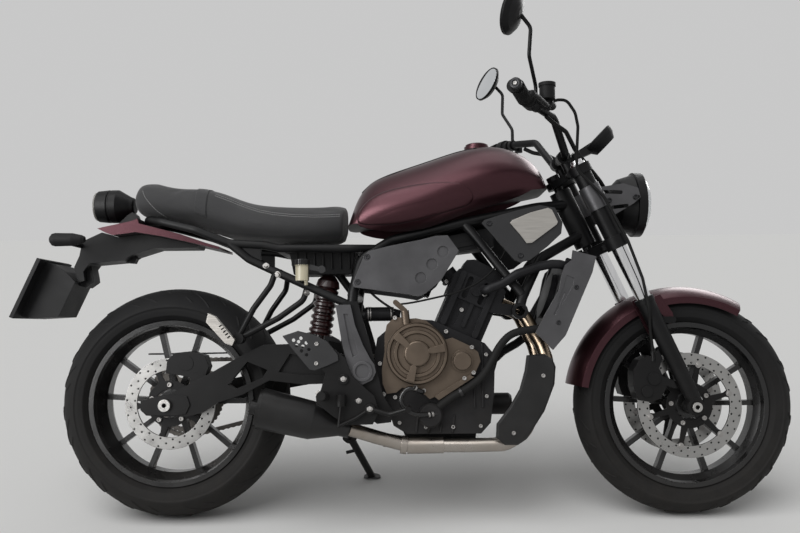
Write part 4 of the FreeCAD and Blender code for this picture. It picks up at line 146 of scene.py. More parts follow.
def add_node(tree, kind, inputs, **settings):
    node = tree.nodes.new("ShaderNode" + kind)
    for label, value in settings.items():
        setattr(node, label, value)
    return fill(tree, node, inputs)


def spaced(sockets):
    """Keyword names as socket names: Coat_Weight is Coat Weight."""
    return {label.replace("_", " "): value for label, value in sockets.items()}


def add_math(tree, operation, first, second):
    return add_node(tree, "Math", {0: first, 1: second}, operation=operation).outputs[0]


def vary(tree, value, low, high, start=0.3, stop=0.7):
    """A mask stretched from start..stop, where a noise mostly lies, to low..high."""
    inputs = {"Value": value, "From Min": start, "From Max": stop, "To Min": low, "To Max": high}
    return add_node(tree, "MapRange", inputs).outputs["Result"]


def mix_colour(tree, mask, first, second):
    """One colour over another by a mask; each is a socket or a plain colour."""
    return add_node(tree, "Mix", {"Factor": mask, 6: first, 7: second}, data_type="RGBA").outputs[2]


def noise(tree, place, scale, detail, roughness=0.5):
    inputs = {"Vector": place, "Scale": scale, "Detail": detail, "Roughness": roughness}
    return add_node(tree, "TexNoise", inputs).outputs["Fac"]


def split(tree, vector):
    return add_node(tree, "SeparateXYZ", {"Vector": vector}).outputs


def shade(colour, factor):
    return tuple(min(channel * factor, 1) for channel in colour[:3]) + (1,)


# %% [markdown]
# The photograph was taken from the right, low down, with the camera tipped up a
# little as the leaning motorcycle sees it. These values were fitted to the round
# edges of both wheels and discs, whose real sizes are known.

# %% Place the camera
CAMERA_PLACE = (0.6366, -2.3051, 0.5135)
CAMERA_YAW = 0.0056
CAMERA_PITCH = 0.0750
CAMERA_ROLL = -0.0077
CAMERA_LENS_MM = 36.68
SENSOR_MM = 36.0

lens = bpy.data.cameras.new("portrait_camera")
lens.lens = CAMERA_LENS_MM
lens.sensor_width = SENSOR_MM
camera = add_object("portrait_camera", lens)
turn = Matrix.Rotation(CAMERA_YAW, 4, "Z") @ Matrix.Rotation(math.pi / 2 + CAMERA_PITCH, 4, "X")
camera.matrix_world = LEANED @ Matrix.Translation(CAMERA_PLACE) @ turn @ Matrix.Rotation(CAMERA_ROLL, 4, "Z")
bpy.context.scene.camera = camera
print("camera at", tuple(round(value, 3) for value in camera.matrix_world.translation))

# %% [markdown]
# A wide pale floor runs out to a pale grey world, which gives a plain studio from
# any side. The camera, the metal and the glass see the world at the tone of the far
# floor, while matt surfaces are lit by a dimmer one, so that black pieces stay black.

# %% Floor and world
FLOOR_COLOUR = (0.80, 0.80, 0.79, 1)
FLOOR_SIZE = 14.0
WORLD_LIGHT = 0.30
WORLD_SEEN = 0.58


def make_floor():
    bm = bmesh.new()
    bmesh.ops.create_grid(bm, x_segments=2, y_segments=2, size=FLOOR_SIZE)
    bmesh.ops.recalc_face_normals(bm, faces=bm.faces)
    mesh = mesh_from(bm, "studio_floor")
    mesh.shade_smooth()
    paper = bpy.data.materials.new("studio_paper")
    paper.use_nodes = True
    fill(paper.node_tree, paper.node_tree.nodes["Principled BSDF"],
         {"Base Color": FLOOR_COLOUR, "Roughness": 0.85, "Specular IOR Level": 0.0})
    mesh.materials.append(paper)
    floor = add_object("studio_floor", mesh)


def make_world():
    """Dim grey light all round, seen paler by the camera, in metal and through glass."""
    world = bpy.data.worlds.new("studio_air")
    world.use_nodes = True
    tree = world.node_tree
    rays = tree.nodes.new("ShaderNodeLightPath").outputs
    seen = add_math(tree, "MAXIMUM", rays["Is Camera Ray"], rays["Is Glossy Ray"])
    seen = add_math(tree, "MAXIMUM", seen, rays["Is Transmission Ray"])
    strength = vary(tree, seen, WORLD_LIGHT, WORLD_SEEN, 0, 1)
    fill(tree, tree.nodes["Background"], {"Strength": strength, "Color": (1, 1, 1, 1)})
    bpy.context.scene.world = world


make_floor()
make_world()
bpy.context.scene.view_settings.view_transform = "Standard"

# %% [markdown]
# One wide, soft sun lights the floor evenly, so the floor keeps its tone out to the
# horizon. Three softboxes are seen only in reflections: they draw the broad bands on
# the paint and the chrome and put no pool of light on the floor.

# %% Soft studio lamps
SUN_SPREAD = math.radians(55)
SOFTBOXES = (  # name, place, aim, width, height, watts
    ("rear_side_softbox", (-2.6, -3.0, 1.7), (0.6, 0, 0.8), 2.2, 2.6, 160),
    ("overhead_softbox", (0.5, 0.4, 3.2), (0.7, 0, 0.7), 3.4, 0.9, 16),
    ("far_side_softbox", (2.8, 2.6, 2.2), (0.7, 0, 0.6), 1.6, 1.6, 35),
)


def add_lamp(name, kind, place, aim, energy):
    data = bpy.data.lights.new(name, kind)
    data.energy = energy
    lamp = add_object(name, data)
    lamp.location = place
    lamp.rotation_euler = (Vector(aim) - Vector(place)).to_track_quat("-Z", "Y").to_euler()
    return lamp


sun = add_lamp("wide_soft_sun", "SUN", (-1.0, -2.2, 4.2), (0.7, 0, 0.4), 1.7)
sun.data.angle = SUN_SPREAD
for name, place, aim, width, height, watts in SOFTBOXES:
    softbox = add_lamp(name, "AREA", place, aim, watts)
    softbox.data.shape = "RECTANGLE"
    softbox.data.size = width
    softbox.data.size_y = height
    softbox.visible_diffuse = False
print("lamps:", 1 + len(SOFTBOXES))

# %% [markdown]
# Real finishes are never one flat value. Four effects break them up: a fine grain,
# long brush lines, the threads of the seat cloth, and the dust that settles low on
# a machine that is ridden. Each is built once as a node group with its own inputs,
# and a material that uses it sets its scale or its strength.

# %% Shared effects as node groups
def start_group(name, inputs, *outputs):
    """An empty group that takes a Place and these inputs, with its input and output ends."""
    tree = bpy.data.node_groups.new(name, "ShaderNodeTree")
    tree.interface.new_socket("Place", in_out="INPUT", socket_type="NodeSocketVector")
    for label, value in inputs.items():
        kind = "NodeSocketVector" if isinstance(value, tuple) else "NodeSocketFloat"
        tree.interface.new_socket(label, in_out="INPUT", socket_type=kind).default_value = value
    for label in outputs:
        tree.interface.new_socket(label, in_out="OUTPUT", socket_type="NodeSocketFloat")
    return tree, tree.nodes.new("NodeGroupInput").outputs, tree.nodes.new("NodeGroupOutput")


def make_grain_group():
    """Cast skin, moulded plastic or orange peel, with wide patches for gloss and tone."""
    tree, source, sink = start_group("fine_grain", {"Scale": 300.0, "Coarse Scale": 12.0}, "Height", "Patches")
    fill(tree, sink, {"Height": noise(tree, source["Place"], source["Scale"], 3.0),
                      "Patches": noise(tree, source["Place"], source["Coarse Scale"], 4.0, 0.6)})
    return tree


def make_brush_group():
    """Brush lines: a noise squeezed along one way."""
    tree, source, sink = start_group("brush_lines", {"Along": (1.0, 1.0, 1.0), "Scale": 90.0}, "Lines")
    squeeze = add_node(tree, "VectorMath", {0: source["Place"], 1: source["Along"]}, operation="MULTIPLY")
    fill(tree, sink, {"Lines": noise(tree, squeeze.outputs["Vector"], source["Scale"], 5.0)})
    return tree


def make_dust_group():
    """Road dust: patchy, and more of it low down."""
    tree, source, sink = start_group("road_dust", {"Top": 0.55, "Amount": 0.1}, "Mask")
    height = add_math(tree, "DIVIDE", split(tree, source["Place"])["Z"], source["Top"])
    low = add_math(tree, "MAXIMUM", add_math(tree, "SUBTRACT", 1.0, height), 0.0)
    patchy = add_math(tree, "MULTIPLY", low, noise(tree, source["Place"], 26.0, 6.0, 0.65))
    fill(tree, sink, {"Mask": add_math(tree, "MULTIPLY", patchy, source["Amount"])})
    return tree


def make_weave_group():
    """Cloth threads: two crossed waves, one over the other."""
    tree, source, sink = start_group("cloth_threads", {"Scale": 420.0}, "Height")
    waves = [add_node(tree, "TexWave", {"Vector": source["Place"], "Scale": source["Scale"], "Distortion": 1.2,
                                        "Detail": 1.0}, bands_direction=axis).outputs["Fac"] for axis in "XY"]
    fill(tree, sink, {"Height": add_math(tree, "MAXIMUM", *waves)})
    return tree


GRAIN, BRUSH, DUST, WEAVE = make_grain_group(), make_brush_group(), make_dust_group(), make_weave_group()
print("shared effects:", [group.name for group in (GRAIN, BRUSH, DUST, WEAVE)])

# %% [markdown]
# A finish starts from one base: object coordinates turned back upright, and the
# material's own Principled shader with its plain values set on its sockets. Bump
# runs over edges that a Bevel node rounds a little.

# %% The common start of a finish
DUST_COLOUR = (0.19, 0.165, 0.135, 1)
EDGE_RADIUS = 0.0012


def start_finish(name, colour, roughness, metallic=0.0, **sockets):
    """A material with its plain values set, its tree and shader, and the upright place."""
    material = bpy.data.materials.new(name)
    material.use_nodes = True
    material.diffuse_color = colour
    tree = material.node_tree
    shader = tree.nodes["Principled BSDF"]
    fill(tree, shader, {"Base Color": colour, "Roughness": roughness, "Metallic": metallic, **spaced(sockets)})
    coordinates = tree.nodes.new("ShaderNodeTexCoord")
    mapping = add_node(tree, "Mapping", {"Vector": coordinates.outputs["Object"], "Rotation": (LEAN, 0, 0)})
    return material, tree, shader, mapping.outputs["Vector"]


def use_group(tree, group, place, **values):
    """The outputs of one use of a shared effect."""
    return add_node(tree, "Group", {"Place": place, **spaced(values)}, node_tree=group).outputs


def add_bump(tree, shader, height, strength, distance):
    bevel = add_node(tree, "Bevel", {"Radius": EDGE_RADIUS}, samples=4)
    bump = add_node(tree, "Bump", {"Normal": bevel.outputs["Normal"], "Strength": strength,
                                   "Distance": distance, "Height": height})
    fill(tree, shader, {"Normal": bump.outputs["Normal"]})


# %% [markdown]
# Most pieces are painted, cast or moulded. They share one recipe: a grain for the
# skin, patches that shift the gloss and the tone a little, and dust low down.

# %% Finishes that the grained recipe covers
def grained(name, colour, roughness, metallic, grain, bump, tone, dust=0.07, **sockets):
    material, tree, shader, place = start_finish(name, colour + (1,), roughness, metallic, **sockets)
    skin = use_group(tree, GRAIN, place, Scale=grain)
    grime = use_group(tree, DUST, place, Amount=dust)["Mask"]
    toned = mix_colour(tree, vary(tree, skin["Patches"], 0, 1), shade(colour, 1 - tone), shade(colour, 1 + tone))
    gloss = vary(tree, skin["Patches"], roughness - 0.06, roughness + 0.08)
    fill(tree, shader, {"Base Color": mix_colour(tree, grime, toned, DUST_COLOUR),
                        "Roughness": add_math(tree, "ADD", gloss, grime)})
    add_bump(tree, shader, skin["Height"], bump, 0.0004)
    return material


MATT = {"Specular_IOR_Level": 0.18}
FINISHES = {  # name, colour, roughness, metallic, grain, bump, tone, dust
    "black_enamel": grained("satin_black_enamel", (0.006, 0.006, 0.0065), 0.42, 0.0, 260, 0.05, 0.2, **MATT),
    "grey_paint": grained("satin_grey_paint", (0.085, 0.084, 0.088), 0.38, 0.6, 700, 0.06, 0.1),
    "charcoal_paint": grained("matt_charcoal_paint", (0.019, 0.019, 0.0205), 0.5, 0.3, 800, 0.12, 0.12),
    "engine_casting": grained("dark_cast_aluminium", (0.016, 0.016, 0.0175), 0.5, 0.4, 420, 0.35, 0.25, 0.16,
                              Specular_IOR_Level=0.2),
    "bronze_paint": grained("bronze_cover_paint", (0.115, 0.088, 0.066), 0.42, 0.7, 600, 0.12, 0.12, 0.15),
    "heatproof_black": grained("heatproof_black", (0.009, 0.009, 0.0095), 0.36, 0.3, 700, 0.12, 0.3),
    "soft_rubber": grained("soft_rubber", (0.009, 0.009, 0.009), 0.7, 0.0, 420, 0.25, 0.25, **MATT),
    "black_plastic": grained("moulded_black_plastic", (0.009, 0.009, 0.0095), 0.55, 0.0, 900, 0.3, 0.2, **MATT),
    "spring_steel": grained("red_spring_paint", (0.03, 0.005, 0.005), 0.4, 0.0, 300, 0.05, 0.2, Coat_Weight=0.5),
    "tyre_rubber": grained("tyre_rubber", (0.010, 0.010, 0.0105), 0.72, 0.0, 500, 0.25, 0.3, 0.12, **MATT),
    "oiled_chain": grained("oiled_chain", (0.13, 0.12, 0.11), 0.42, 0.8, 500, 0.15, 0.3),
    "zinc_bolt": grained("zinc_bolt", (0.33, 0.32, 0.31), 0.36, 1.0, 400, 0.06, 0.15, 0.2),
    "black_bolt": grained("black_bolt", (0.022, 0.022, 0.024), 0.36, 0.6, 500, 0.06, 0.2, 0.2),
    "gloss_black": grained("gloss_black_rim", (0.006, 0.006, 0.0065), 0.24, 0.0, 300, 0.03, 0.2),
    "seam_thread": grained("seam_thread", (0.30, 0.30, 0.30), 0.7, 0.0, 1200, 0.4, 0.2, 0),
    "meter_face": grained("meter_face", (0.012, 0.012, 0.014), 0.3, 0.0, 900, 0.02, 0.1, 0),
    "meter_marks": grained("meter_marks", (0.55, 0.58, 0.55), 0.4, 0.0, 900, 0.02, 0.05, 0),
    "cream_plastic": grained("cream_plastic", (0.62, 0.57, 0.42), 0.35, 0.0, 300, 0.04, 0.06, 0.1),
}
print("grained finishes:", len(FINISHES))

# %% [markdown]
# The tank, the front mudguard and the tail are a dark plum with metal flakes under
# a satin coat. The flakes send back the lamps as broad pale pink bands and leave
# the rest almost black. A high metallic value with a middling roughness gives the
# bands, and tiny noise cells stand for the flakes. Faces that look straight down
# are painted near black, matt and not metallic: painted shade on their undersides.

# %% Plum flake paint
PLUM_DEEP = (0.024, 0.005, 0.008, 1)
PLUM_FLAKE = (0.12, 0.050, 0.060, 1)
# Painted shade: the near-black colour given to faces that look down.
UNDERSIDE_SHADE = (0.012, 0.008, 0.009, 1)
PLUM_METAL = 0.85


def make_plum_paint():
    material, tree, shader, place = start_finish("plum_flake_paint", PLUM_DEEP, 0.30, PLUM_METAL,
                                                 Coat_Weight=0.12, Coat_Roughness=0.25)
    skin = use_group(tree, GRAIN, place, Scale=2600.0, Coarse_Scale=5.0)
    painted = mix_colour(tree, vary(tree, skin["Height"], -0.15, 0.75), PLUM_DEEP, PLUM_FLAKE)
    facing = split(tree, tree.nodes["Texture Coordinate"].outputs["Normal"])["Z"]
    # Faces looking down get the painted shade colour, and are made matt and not metallic.
    under = vary(tree, facing, 0, 1, -0.55, -0.85)
    metal = add_math(tree, "MULTIPLY", add_math(tree, "SUBTRACT", 1.0, under), PLUM_METAL)
    gloss = vary(tree, skin["Patches"], 0.32, 0.38)
    rough = add_math(tree, "ADD", gloss, add_math(tree, "MULTIPLY", under, 0.4))
    fill(tree, shader, {"Base Color": mix_colour(tree, under, painted, UNDERSIDE_SHADE), "Metallic": metal,
                        "Roughness": rough})
    add_bump(tree, shader, skin["Height"], 0.05, 0.0002)
    return material


FINISHES["plum_paint"] = make_plum_paint()

# %% [markdown]
# The brake reservoir is one node in two colours: its body is cream, and it has a
# black cap on top and a black hose in front. Its own points say where they start.

# %% Cap and hose of the brake reservoir
RESERVOIR_BLACK = (0.010, 0.010, 0.011, 1)
CAP_DEPTH = 0.017
HOSE_START = 0.036

reservoir_points = upright_points("brake_reservoir")
RESERVOIR_TOP = max(point.z for point in reservoir_points)
RESERVOIR_FRONT = min(point.x for point in reservoir_points) + HOSE_START


def blacken_cap_and_hose(material):
    tree = material.node_tree
    shader = tree.nodes["Principled BSDF"]
    cream = shader.inputs["Base Color"].links[0].from_socket
    place = split(tree, tree.nodes["Mapping"].outputs["Vector"])
    high = add_math(tree, "GREATER_THAN", place["Z"], RESERVOIR_TOP - CAP_DEPTH + LEANED.translation.z)
    ahead = add_math(tree, "GREATER_THAN", place["X"], RESERVOIR_FRONT)
    black = add_math(tree, "MAXIMUM", high, ahead)
    fill(tree, shader, {"Base Color": mix_colour(tree, black, cream, RESERVOIR_BLACK)})


blacken_cap_and_hose(FINISHES["cream_plastic"])
print("reservoir top:", round(RESERVOIR_TOP, 4), "front:", round(RESERVOIR_FRONT, 4))

# %% [markdown]
# Bare metals differ in how they were worked. The intake plates are brushed one
# way, the fork tubes, mirrors and lamp dish are polished bright, and the brake
# tracks are ground. The exhaust is darker and browner high up, near the engine,
# where it runs hot.

# %% Brushed and polished metals
def brushed(name, colour, roughness, along, scale, bump):
    material, tree, shader, place = start_finish(name, colour + (1,), roughness, 1.0)
    lines = use_group(tree, BRUSH, place, Along=along, Scale=scale)["Lines"]
    toned = mix_colour(tree, vary(tree, lines, 0, 1), shade(colour, 0.9), colour + (1,))
    fill(tree, shader, {"Base Color": toned, "Roughness": vary(tree, lines, roughness - 0.05, roughness + 0.07)})
    add_bump(tree, shader, lines, bump, 0.0002)
    return material


EVEN = (1.0, 1.0, 1.0)
FINISHES.update({  # name, colour, roughness, along, scale, bump
    "brushed_aluminium": brushed("brushed_plate", (0.46, 0.44, 0.41), 0.34, (0.2, 1.0, 5.0), 90.0, 0.15),
    "polished_steel": brushed("ground_steel", (0.50, 0.49, 0.47), 0.30, (1.0, 0.15, 1.0), 160.0, 0.15),
    "fork_chrome": brushed("fork_chrome", (0.78, 0.78, 0.79), 0.10, (1.0, 1.0, 0.05), 80.0, 0.02),
    "mirror_glass": brushed("mirror_glass", (0.80, 0.82, 0.84), 0.06, EVEN, 8.0, 0.0),
    "reflector": brushed("lamp_reflector", (0.80, 0.80, 0.80), 0.12, EVEN, 30.0, 0.02),
    "disc_steel": brushed("ground_disc_steel", (0.36, 0.355, 0.345), 0.30, (1.0, 0.3, 1.0), 24.0, 0.0),
})

# %% Exhaust steel, coloured by heat
STEEL_COOL = (0.38, 0.35, 0.32, 1)
STEEL_HOT = (0.22, 0.17, 0.12, 1)


def make_exhaust_steel():
    material, tree, shader, place = start_finish("heat_tinted_steel", STEEL_COOL, 0.3, 1.0)
    skin = use_group(tree, GRAIN, place, Scale=140.0, Coarse_Scale=14.0)
    height = vary(tree, split(tree, place)["Z"], 0, 1, 0.16, 0.46)
    hot = add_math(tree, "ADD", height, vary(tree, skin["Patches"], -0.2, 0.2))
    hot = add_math(tree, "MINIMUM", add_math(tree, "MAXIMUM", hot, 0.0), 1.0)
    fill(tree, shader, {"Base Color": mix_colour(tree, hot, STEEL_COOL, STEEL_HOT),
                        "Roughness": vary(tree, skin["Patches"], 0.22, 0.38)})
    add_bump(tree, shader, skin["Height"], 0.06, 0.0003)
    return material


FINISHES["exhaust_steel"] = make_exhaust_steel()

# %% [markdown]
# The seat is covered in a black technical cloth. Crossed threads give it its
# grain and sheen gives the soft edge that cloth has.

# %% Seat cloth
CLOTH_DARK = (0.013, 0.013, 0.014, 1)
CLOTH_PALE = (0.028, 0.028, 0.03, 1)
CLOTH_THREAD = (0.034, 0.034, 0.036, 1)


def make_seat_cloth():
    material, tree, shader, place = start_finish("seat_cloth", (0.018, 0.018, 0.019, 1), 0.82,
                                                 Sheen_Weight=0.35, Sheen_Roughness=0.4)
    threads = use_group(tree, WEAVE, place, Scale=260.0)["Height"]
    skin = use_group(tree, GRAIN, place, Scale=900.0, Coarse_Scale=9.0)
    tone = mix_colour(tree, vary(tree, skin["Patches"], 0, 1), CLOTH_DARK, CLOTH_PALE)
    fill(tree, shader, {"Base Color": mix_colour(tree, vary(tree, threads, 0, 0.5), tone, CLOTH_THREAD),
                        "Roughness": vary(tree, skin["Patches"], 0.75, 0.9)})
    add_bump(tree, shader, add_math(tree, "ADD", threads, skin["Height"]), 0.35, 0.0006)
    return material


FINISHES["seat_cloth"] = make_seat_cloth()

# %% [markdown]
# Lamps have clear or coloured lenses. A lens keeps plain metallic and transmission
# values, so only its roughness carries detail.

# %% Glass and coloured lenses
def lens_finish(name, colour, roughness, transmission):
    material, tree, shader, place = start_finish(name, colour, roughness, Transmission_Weight=transmission,
                                                 IOR=1.49)
    skin = use_group(tree, GRAIN, place, Scale=180.0)
    fill(tree, shader, {"Roughness": vary(tree, skin["Patches"], roughness, roughness + 0.05)})
    return material


FINISHES["lamp_glass"] = lens_finish("headlamp_glass", (0.93, 0.95, 0.96, 1), 0.03, 0.9)
FINISHES["lamp_plastic"] = lens_finish("smoked_red_lens", (0.022, 0.004, 0.004, 1), 0.16, 0.1)
FINISHES["pale_lens"] = lens_finish("indicator_lens", (0.62, 0.60, 0.56, 1), 0.12, 0.6)
print("finishes:", len(FINISHES))

# %% [markdown]
# Every node of the model gets the finish of its slot in the record. A few nodes
# look different from the rest of their slot, so they are given their own: the
# plain discs turn black, because they are carriers for the bright tracks below.

# %% Dress the nodes
OWN_FINISH = {"front_rim": "gloss_black", "rear_rim": "gloss_black", "tail_lamp": "black_enamel",
              "front_discs": "black_enamel", "rear_disc": "black_enamel", "exhaust_pipes": "exhaust_steel",
              "drive_chain": "oiled_chain", "rear_sprocket": "oiled_chain"}
SLOT_OF = {item["node"]: item["material_slot"] for item in frame["record"]["subparts"]}
for name in NODES:
    mesh = NODES[name].data
    mesh.materials.clear()
    mesh.materials.append(FINISHES[OWN_FINISH.get(name, SLOT_OF[name])])
print("dressed nodes:", len(NODES))

# %% [markdown]
# New pieces are modelled as if the motorcycle stood upright, which keeps every
# number readable. One helper then leans the finished mesh, gives it its material
# and hangs it on the body that carries it. It also looks up the slot of the record
# nearest to a finish that is no slot, but does not keep it.

# %% Turn a bmesh into a finished piece
SLOTS = {"zinc_bolt": "polished_steel", "black_bolt": "polished_steel", "disc_steel": "polished_steel",
         "reflector": "fork_chrome", "mirror_glass": "fork_chrome", "meter_face": "black_plastic",
         "meter_marks": "cream_plastic", "gloss_black": "soft_rubber", "seam_thread": "seat_cloth",
         "pale_lens": "lamp_glass"}
MERGE = 0.00001


def finish_piece(name, bm, finish, body="chassis", stands_for=(), smooth=True, slot=None):
    """Leans an upright bmesh into place and rides it on a body of the model."""
    bmesh.ops.remove_doubles(bm, verts=bm.verts, dist=MERGE)
    bmesh.ops.recalc_face_normals(bm, faces=bm.faces)
    bm.transform(LEANED)
    mesh = mesh_from(bm, name)
    if smooth:
        mesh.shade_smooth()
    piece = add_object(name, mesh)
    mesh.materials.append(FINISHES[finish])
    slot = slot or SLOTS.get(finish, finish)
    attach(piece, body)
    if stands_for:
        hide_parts(*stands_for)
    print(name, "faces:", len(mesh.polygons))
    return piece


# %% Round shapes: a line spun about an axis
def spin_line(bm, points, centre, axis, steps):
    verts = [bm.verts.new(point) for point in points]
    edges = [bm.edges.new(pair) for pair in zip(verts, verts[1:])]
    bmesh.ops.spin(bm, geom=verts + edges, cent=centre, axis=axis, angle=math.tau, steps=steps, use_merge=True)


def spin_profile(bm, profile, base, along, steps=48):
    """Spins (distance along, radius) pairs about an axis."""
    base, along = Vector(base), Vector(along).normalized()
    across = along.orthogonal().normalized()
    spin_line(bm, [base + along * far + across * radius for far, radius in profile], base, along, steps)


def spun_piece(name, profile, base, along, finish, body, steps=48, **how):
    bm = bmesh.new()
    spin_profile(bm, profile, base, along, steps)
    finish_piece(name, bm, finish, body, **how)


def flat_ring(inner, outer, width):
    return [(0, inner), (0, outer), (width, outer), (width, inner), (0, inner)]


def polar(place, centre):
    """Distance from a wheel's axle and angle about it, from straight up."""
    arm = place - centre
    return math.hypot(arm.x, arm.z), math.atan2(arm.x, arm.z)


SIDES = (("right", -1), ("left", 1))


def sideways(distance):
    return Vector((0, distance, 0))


def extrude_all(bm):
    """Extrudes every face and returns the new points."""
    grown = bmesh.ops.extrude_face_region(bm, geom=bm.faces[:])["geom"]
    return [item for item in grown if isinstance(item, bmesh.types.BMVert)]


def even_out(bm, verts):
    bmesh.ops.smooth_vert(bm, verts=verts, factor=0.5, use_axis_x=True, use_axis_y=True, use_axis_z=True)


# %% [markdown]
# A road tyre has a round crown, a soft shoulder and a sidewall that curves in to
# the rim. Its section is drawn once from the tread's middle to the bead and spun
# round the axle. Turning each ring of points a little more, the further out it
# lies, slants every column of faces, so that grooves picked from those columns
# run slantwise to the shoulder.

# %% A tyre's section
CROWN_STEPS = 13
TYRE_LIP = 0.2255
SIDEWALL = (  # share of the drop to the lip, share of the way in to the bead, raised rib
    (0.08, 0.0, 0), (0.1, 0.0, -0.0009), (0.22, 0.01, -0.0009), (0.4, 0.06, 0), (0.6, 0.2, 0),
    (0.64, 0.24, 0.0008), (0.68, 0.28, 0.0008), (0.72, 0.34, 0), (0.86, 0.62, 0), (0.97, 0.93, 0))


def tyre_section(radius, half, crown, bead_half):
    """Points (across, out from the axle) from one bead over the tread to the other."""
    edge = math.asin(min(half / crown, 1))
    side = []
    for step in range(1, CROWN_STEPS + 1):
        turn = edge * step / CROWN_STEPS
        side.append((crown * math.sin(turn), radius - crown + crown * math.cos(turn)))
    shoulder_y, shoulder_r = side[-1]
    for share, inward, rib in SIDEWALL:
        side.append((shoulder_y - (shoulder_y - bead_half) * inward + rib,
                     shoulder_r - (shoulder_r - TYRE_LIP) * share))
    side += [(bead_half, TYRE_LIP - 0.0015), (bead_half, TYRE_LIP - 0.008)]
    return [(-y, r) for y, r in reversed(side)] + [(0, radius)] + side


# %% Spin, slant and cut the tread
TYRE_SECTORS = 144
GROOVE_EVERY = 12
GROOVE_DEPTH = 0.0022
TREAD_LIMIT = TYRE_LIP + 0.02


def ring_turn(across, half, slant):
    """How far a ring of the tread is turned, in radians: least in the middle."""
    return slant * min(abs(across) / half, 1.0) ** 1.3


def is_groove(middle, centre, half, slant, grooves):
    """Whether a face lies on one of the slanted grooves (first share, last share, offset)."""
    turn = polar(middle, centre)[1] - ring_turn(middle.y, half, slant)
    column = math.floor(turn / math.tau * TYRE_SECTORS + 0.25) % TYRE_SECTORS
    if middle.y <= 0:
        column += GROOVE_EVERY // 2
    share = abs(middle.y) / half
    return any(first < share < last and column % GROOVE_EVERY == offset for first, last, offset in grooves)


def make_tyre(label, centre, crown, bead_half, slant, grooves):
    low, high = upright_box(label + "_tyre")
    radius, half = (high.x - low.x) / 2, (high.y - low.y) / 2
    print(label, "tyre radius:", round(radius, 4), "half width:", round(half, 4))
    bm = bmesh.new()
    section = tyre_section(radius, half, crown, bead_half)
    spin_line(bm, [(centre.x, y, centre.z + r) for y, r in section], centre, ACROSS, TYRE_SECTORS)
    bmesh.ops.remove_doubles(bm, verts=bm.verts, dist=MERGE)
    for row in sorted({round(vert.co.y, 6) for vert in bm.verts}):
        ring = [vert for vert in bm.verts if abs(vert.co.y - row) < 0.000002]
        turn = Matrix.Rotation(ring_turn(row, half, slant), 3, "Y")
        bmesh.ops.rotate(bm, verts=ring, cent=centre, matrix=turn)
    picked = []
    for face in bm.faces:
        middle = face.calc_center_median()
        on_tread = polar(middle, centre)[0] >= max(radius - crown, TREAD_LIMIT)
        if on_tread and is_groove(middle, centre, half, slant, grooves):
            picked.append(face)
    for thickness, depth in ((0.0022, 0), (0.0008, -GROOVE_DEPTH)):
        bmesh.ops.inset_region(bm, faces=picked, thickness=thickness, depth=depth, use_even_offset=True)
    bmesh.ops.bridge_loops(bm, edges=[edge for edge in bm.edges if edge.is_boundary])
    finish_piece(label + "_road_tyre", bm, "tyre_rubber", label + "_wheel", (label + "_tyre",))


make_tyre("rear", REAR_WHEEL, 0.105, 0.069, 0.42, ((0.28, 0.62, 0), (0.4, 0.9, 6), (0.7, 0.9, 2)))
make_tyre("front", FRONT_WHEEL, 0.070, 0.0435, -0.34, ((0.3, 0.62, 0), (0.42, 0.9, 6), (0.72, 0.9, 2)))

# %% [markdown]
# Brake tracks are drilled. A grid of small cells is spun into a ring, the point in
# the middle of each block of four cells is dissolved, and the eight-sided cell
# that remains is inset, rounded to a circle and deleted: that leaves a round hole
# with tidy faces about it. The sheet then gets its thickness.

# %% Drilled brake tracks over the plain discs
TRACK_STEPS = 6
HOLE_RADIUS = 0.0029
TRACK_THICKNESS = 0.0066
DISC_PLANE = 0.0695
REAR_DISC_PLANE = -0.081


def drilled_sheet(centre, plane, inner, outer, columns, offset):
    """One drilled ring; holes lie in every second block, and offset says which."""
    bm = bmesh.new()
    line = [(centre.x, plane, centre.z + inner + (outer - inner) * step / TRACK_STEPS)
            for step in range(TRACK_STEPS + 1)]
    spin_line(bm, line, centre, ACROSS, columns * 2)
    bmesh.ops.remove_doubles(bm, verts=bm.verts, dist=MERGE)
    middles = []
    for vert in bm.verts:
        reach, turn = polar(vert.co, centre)
        row = round((reach - inner) / (outer - inner) * TRACK_STEPS)
        column = round(turn / math.tau * columns * 2) % (columns * 2)
        if row % 2 == 1 and column % 2 == 1 and (row // 2 + column // 2) % 2 == offset:
            middles.append(vert)
    spots = [vert.co.copy() for vert in middles]
    bmesh.ops.dissolve_verts(bm, verts=middles)
    cells = [face for face in bm.faces if len(face.verts) == 8]
    bmesh.ops.inset_individual(bm, faces=cells, thickness=0.0006, depth=0)
    for face in cells:
        middle = min(spots, key=lambda place: (place - face.calc_center_median()).length)
        for vert in face.verts:
            vert.co = middle + (vert.co - middle).normalized() * HOLE_RADIUS
    bmesh.ops.delete(bm, geom=cells, context="FACES")
    bmesh.ops.translate(bm, verts=extrude_all(bm), vec=(0, TRACK_THICKNESS, 0))
    bmesh.ops.translate(bm, verts=bm.verts, vec=(0, -TRACK_THICKNESS / 2, 0))
    return mesh_from(bm, "track_part")


for name, body, centre, planes, facts in (
        ("front_disc_tracks", "front_wheel", FRONT_WHEEL, (-DISC_PLANE, DISC_PLANE), (0.1092, 0.1408, 44, 0)),
        ("rear_disc_track", "rear_wheel", REAR_WHEEL, (REAR_DISC_PLANE,), (0.0902, 0.1223, 36, 1))):
    tracks = bmesh.new()
    for plane in planes:
        take_in(tracks, drilled_sheet(centre, plane, *facts))
    finish_piece(name, tracks, "disc_steel", body, smooth=False)

# %% [markdown]
# The rest of a wheel is small bright things: silver bobbins that let a disc float
# on its black carrier, bolts round the carrier, and the valve. Each kind is one
# small shape, copied round the axle into one mesh.

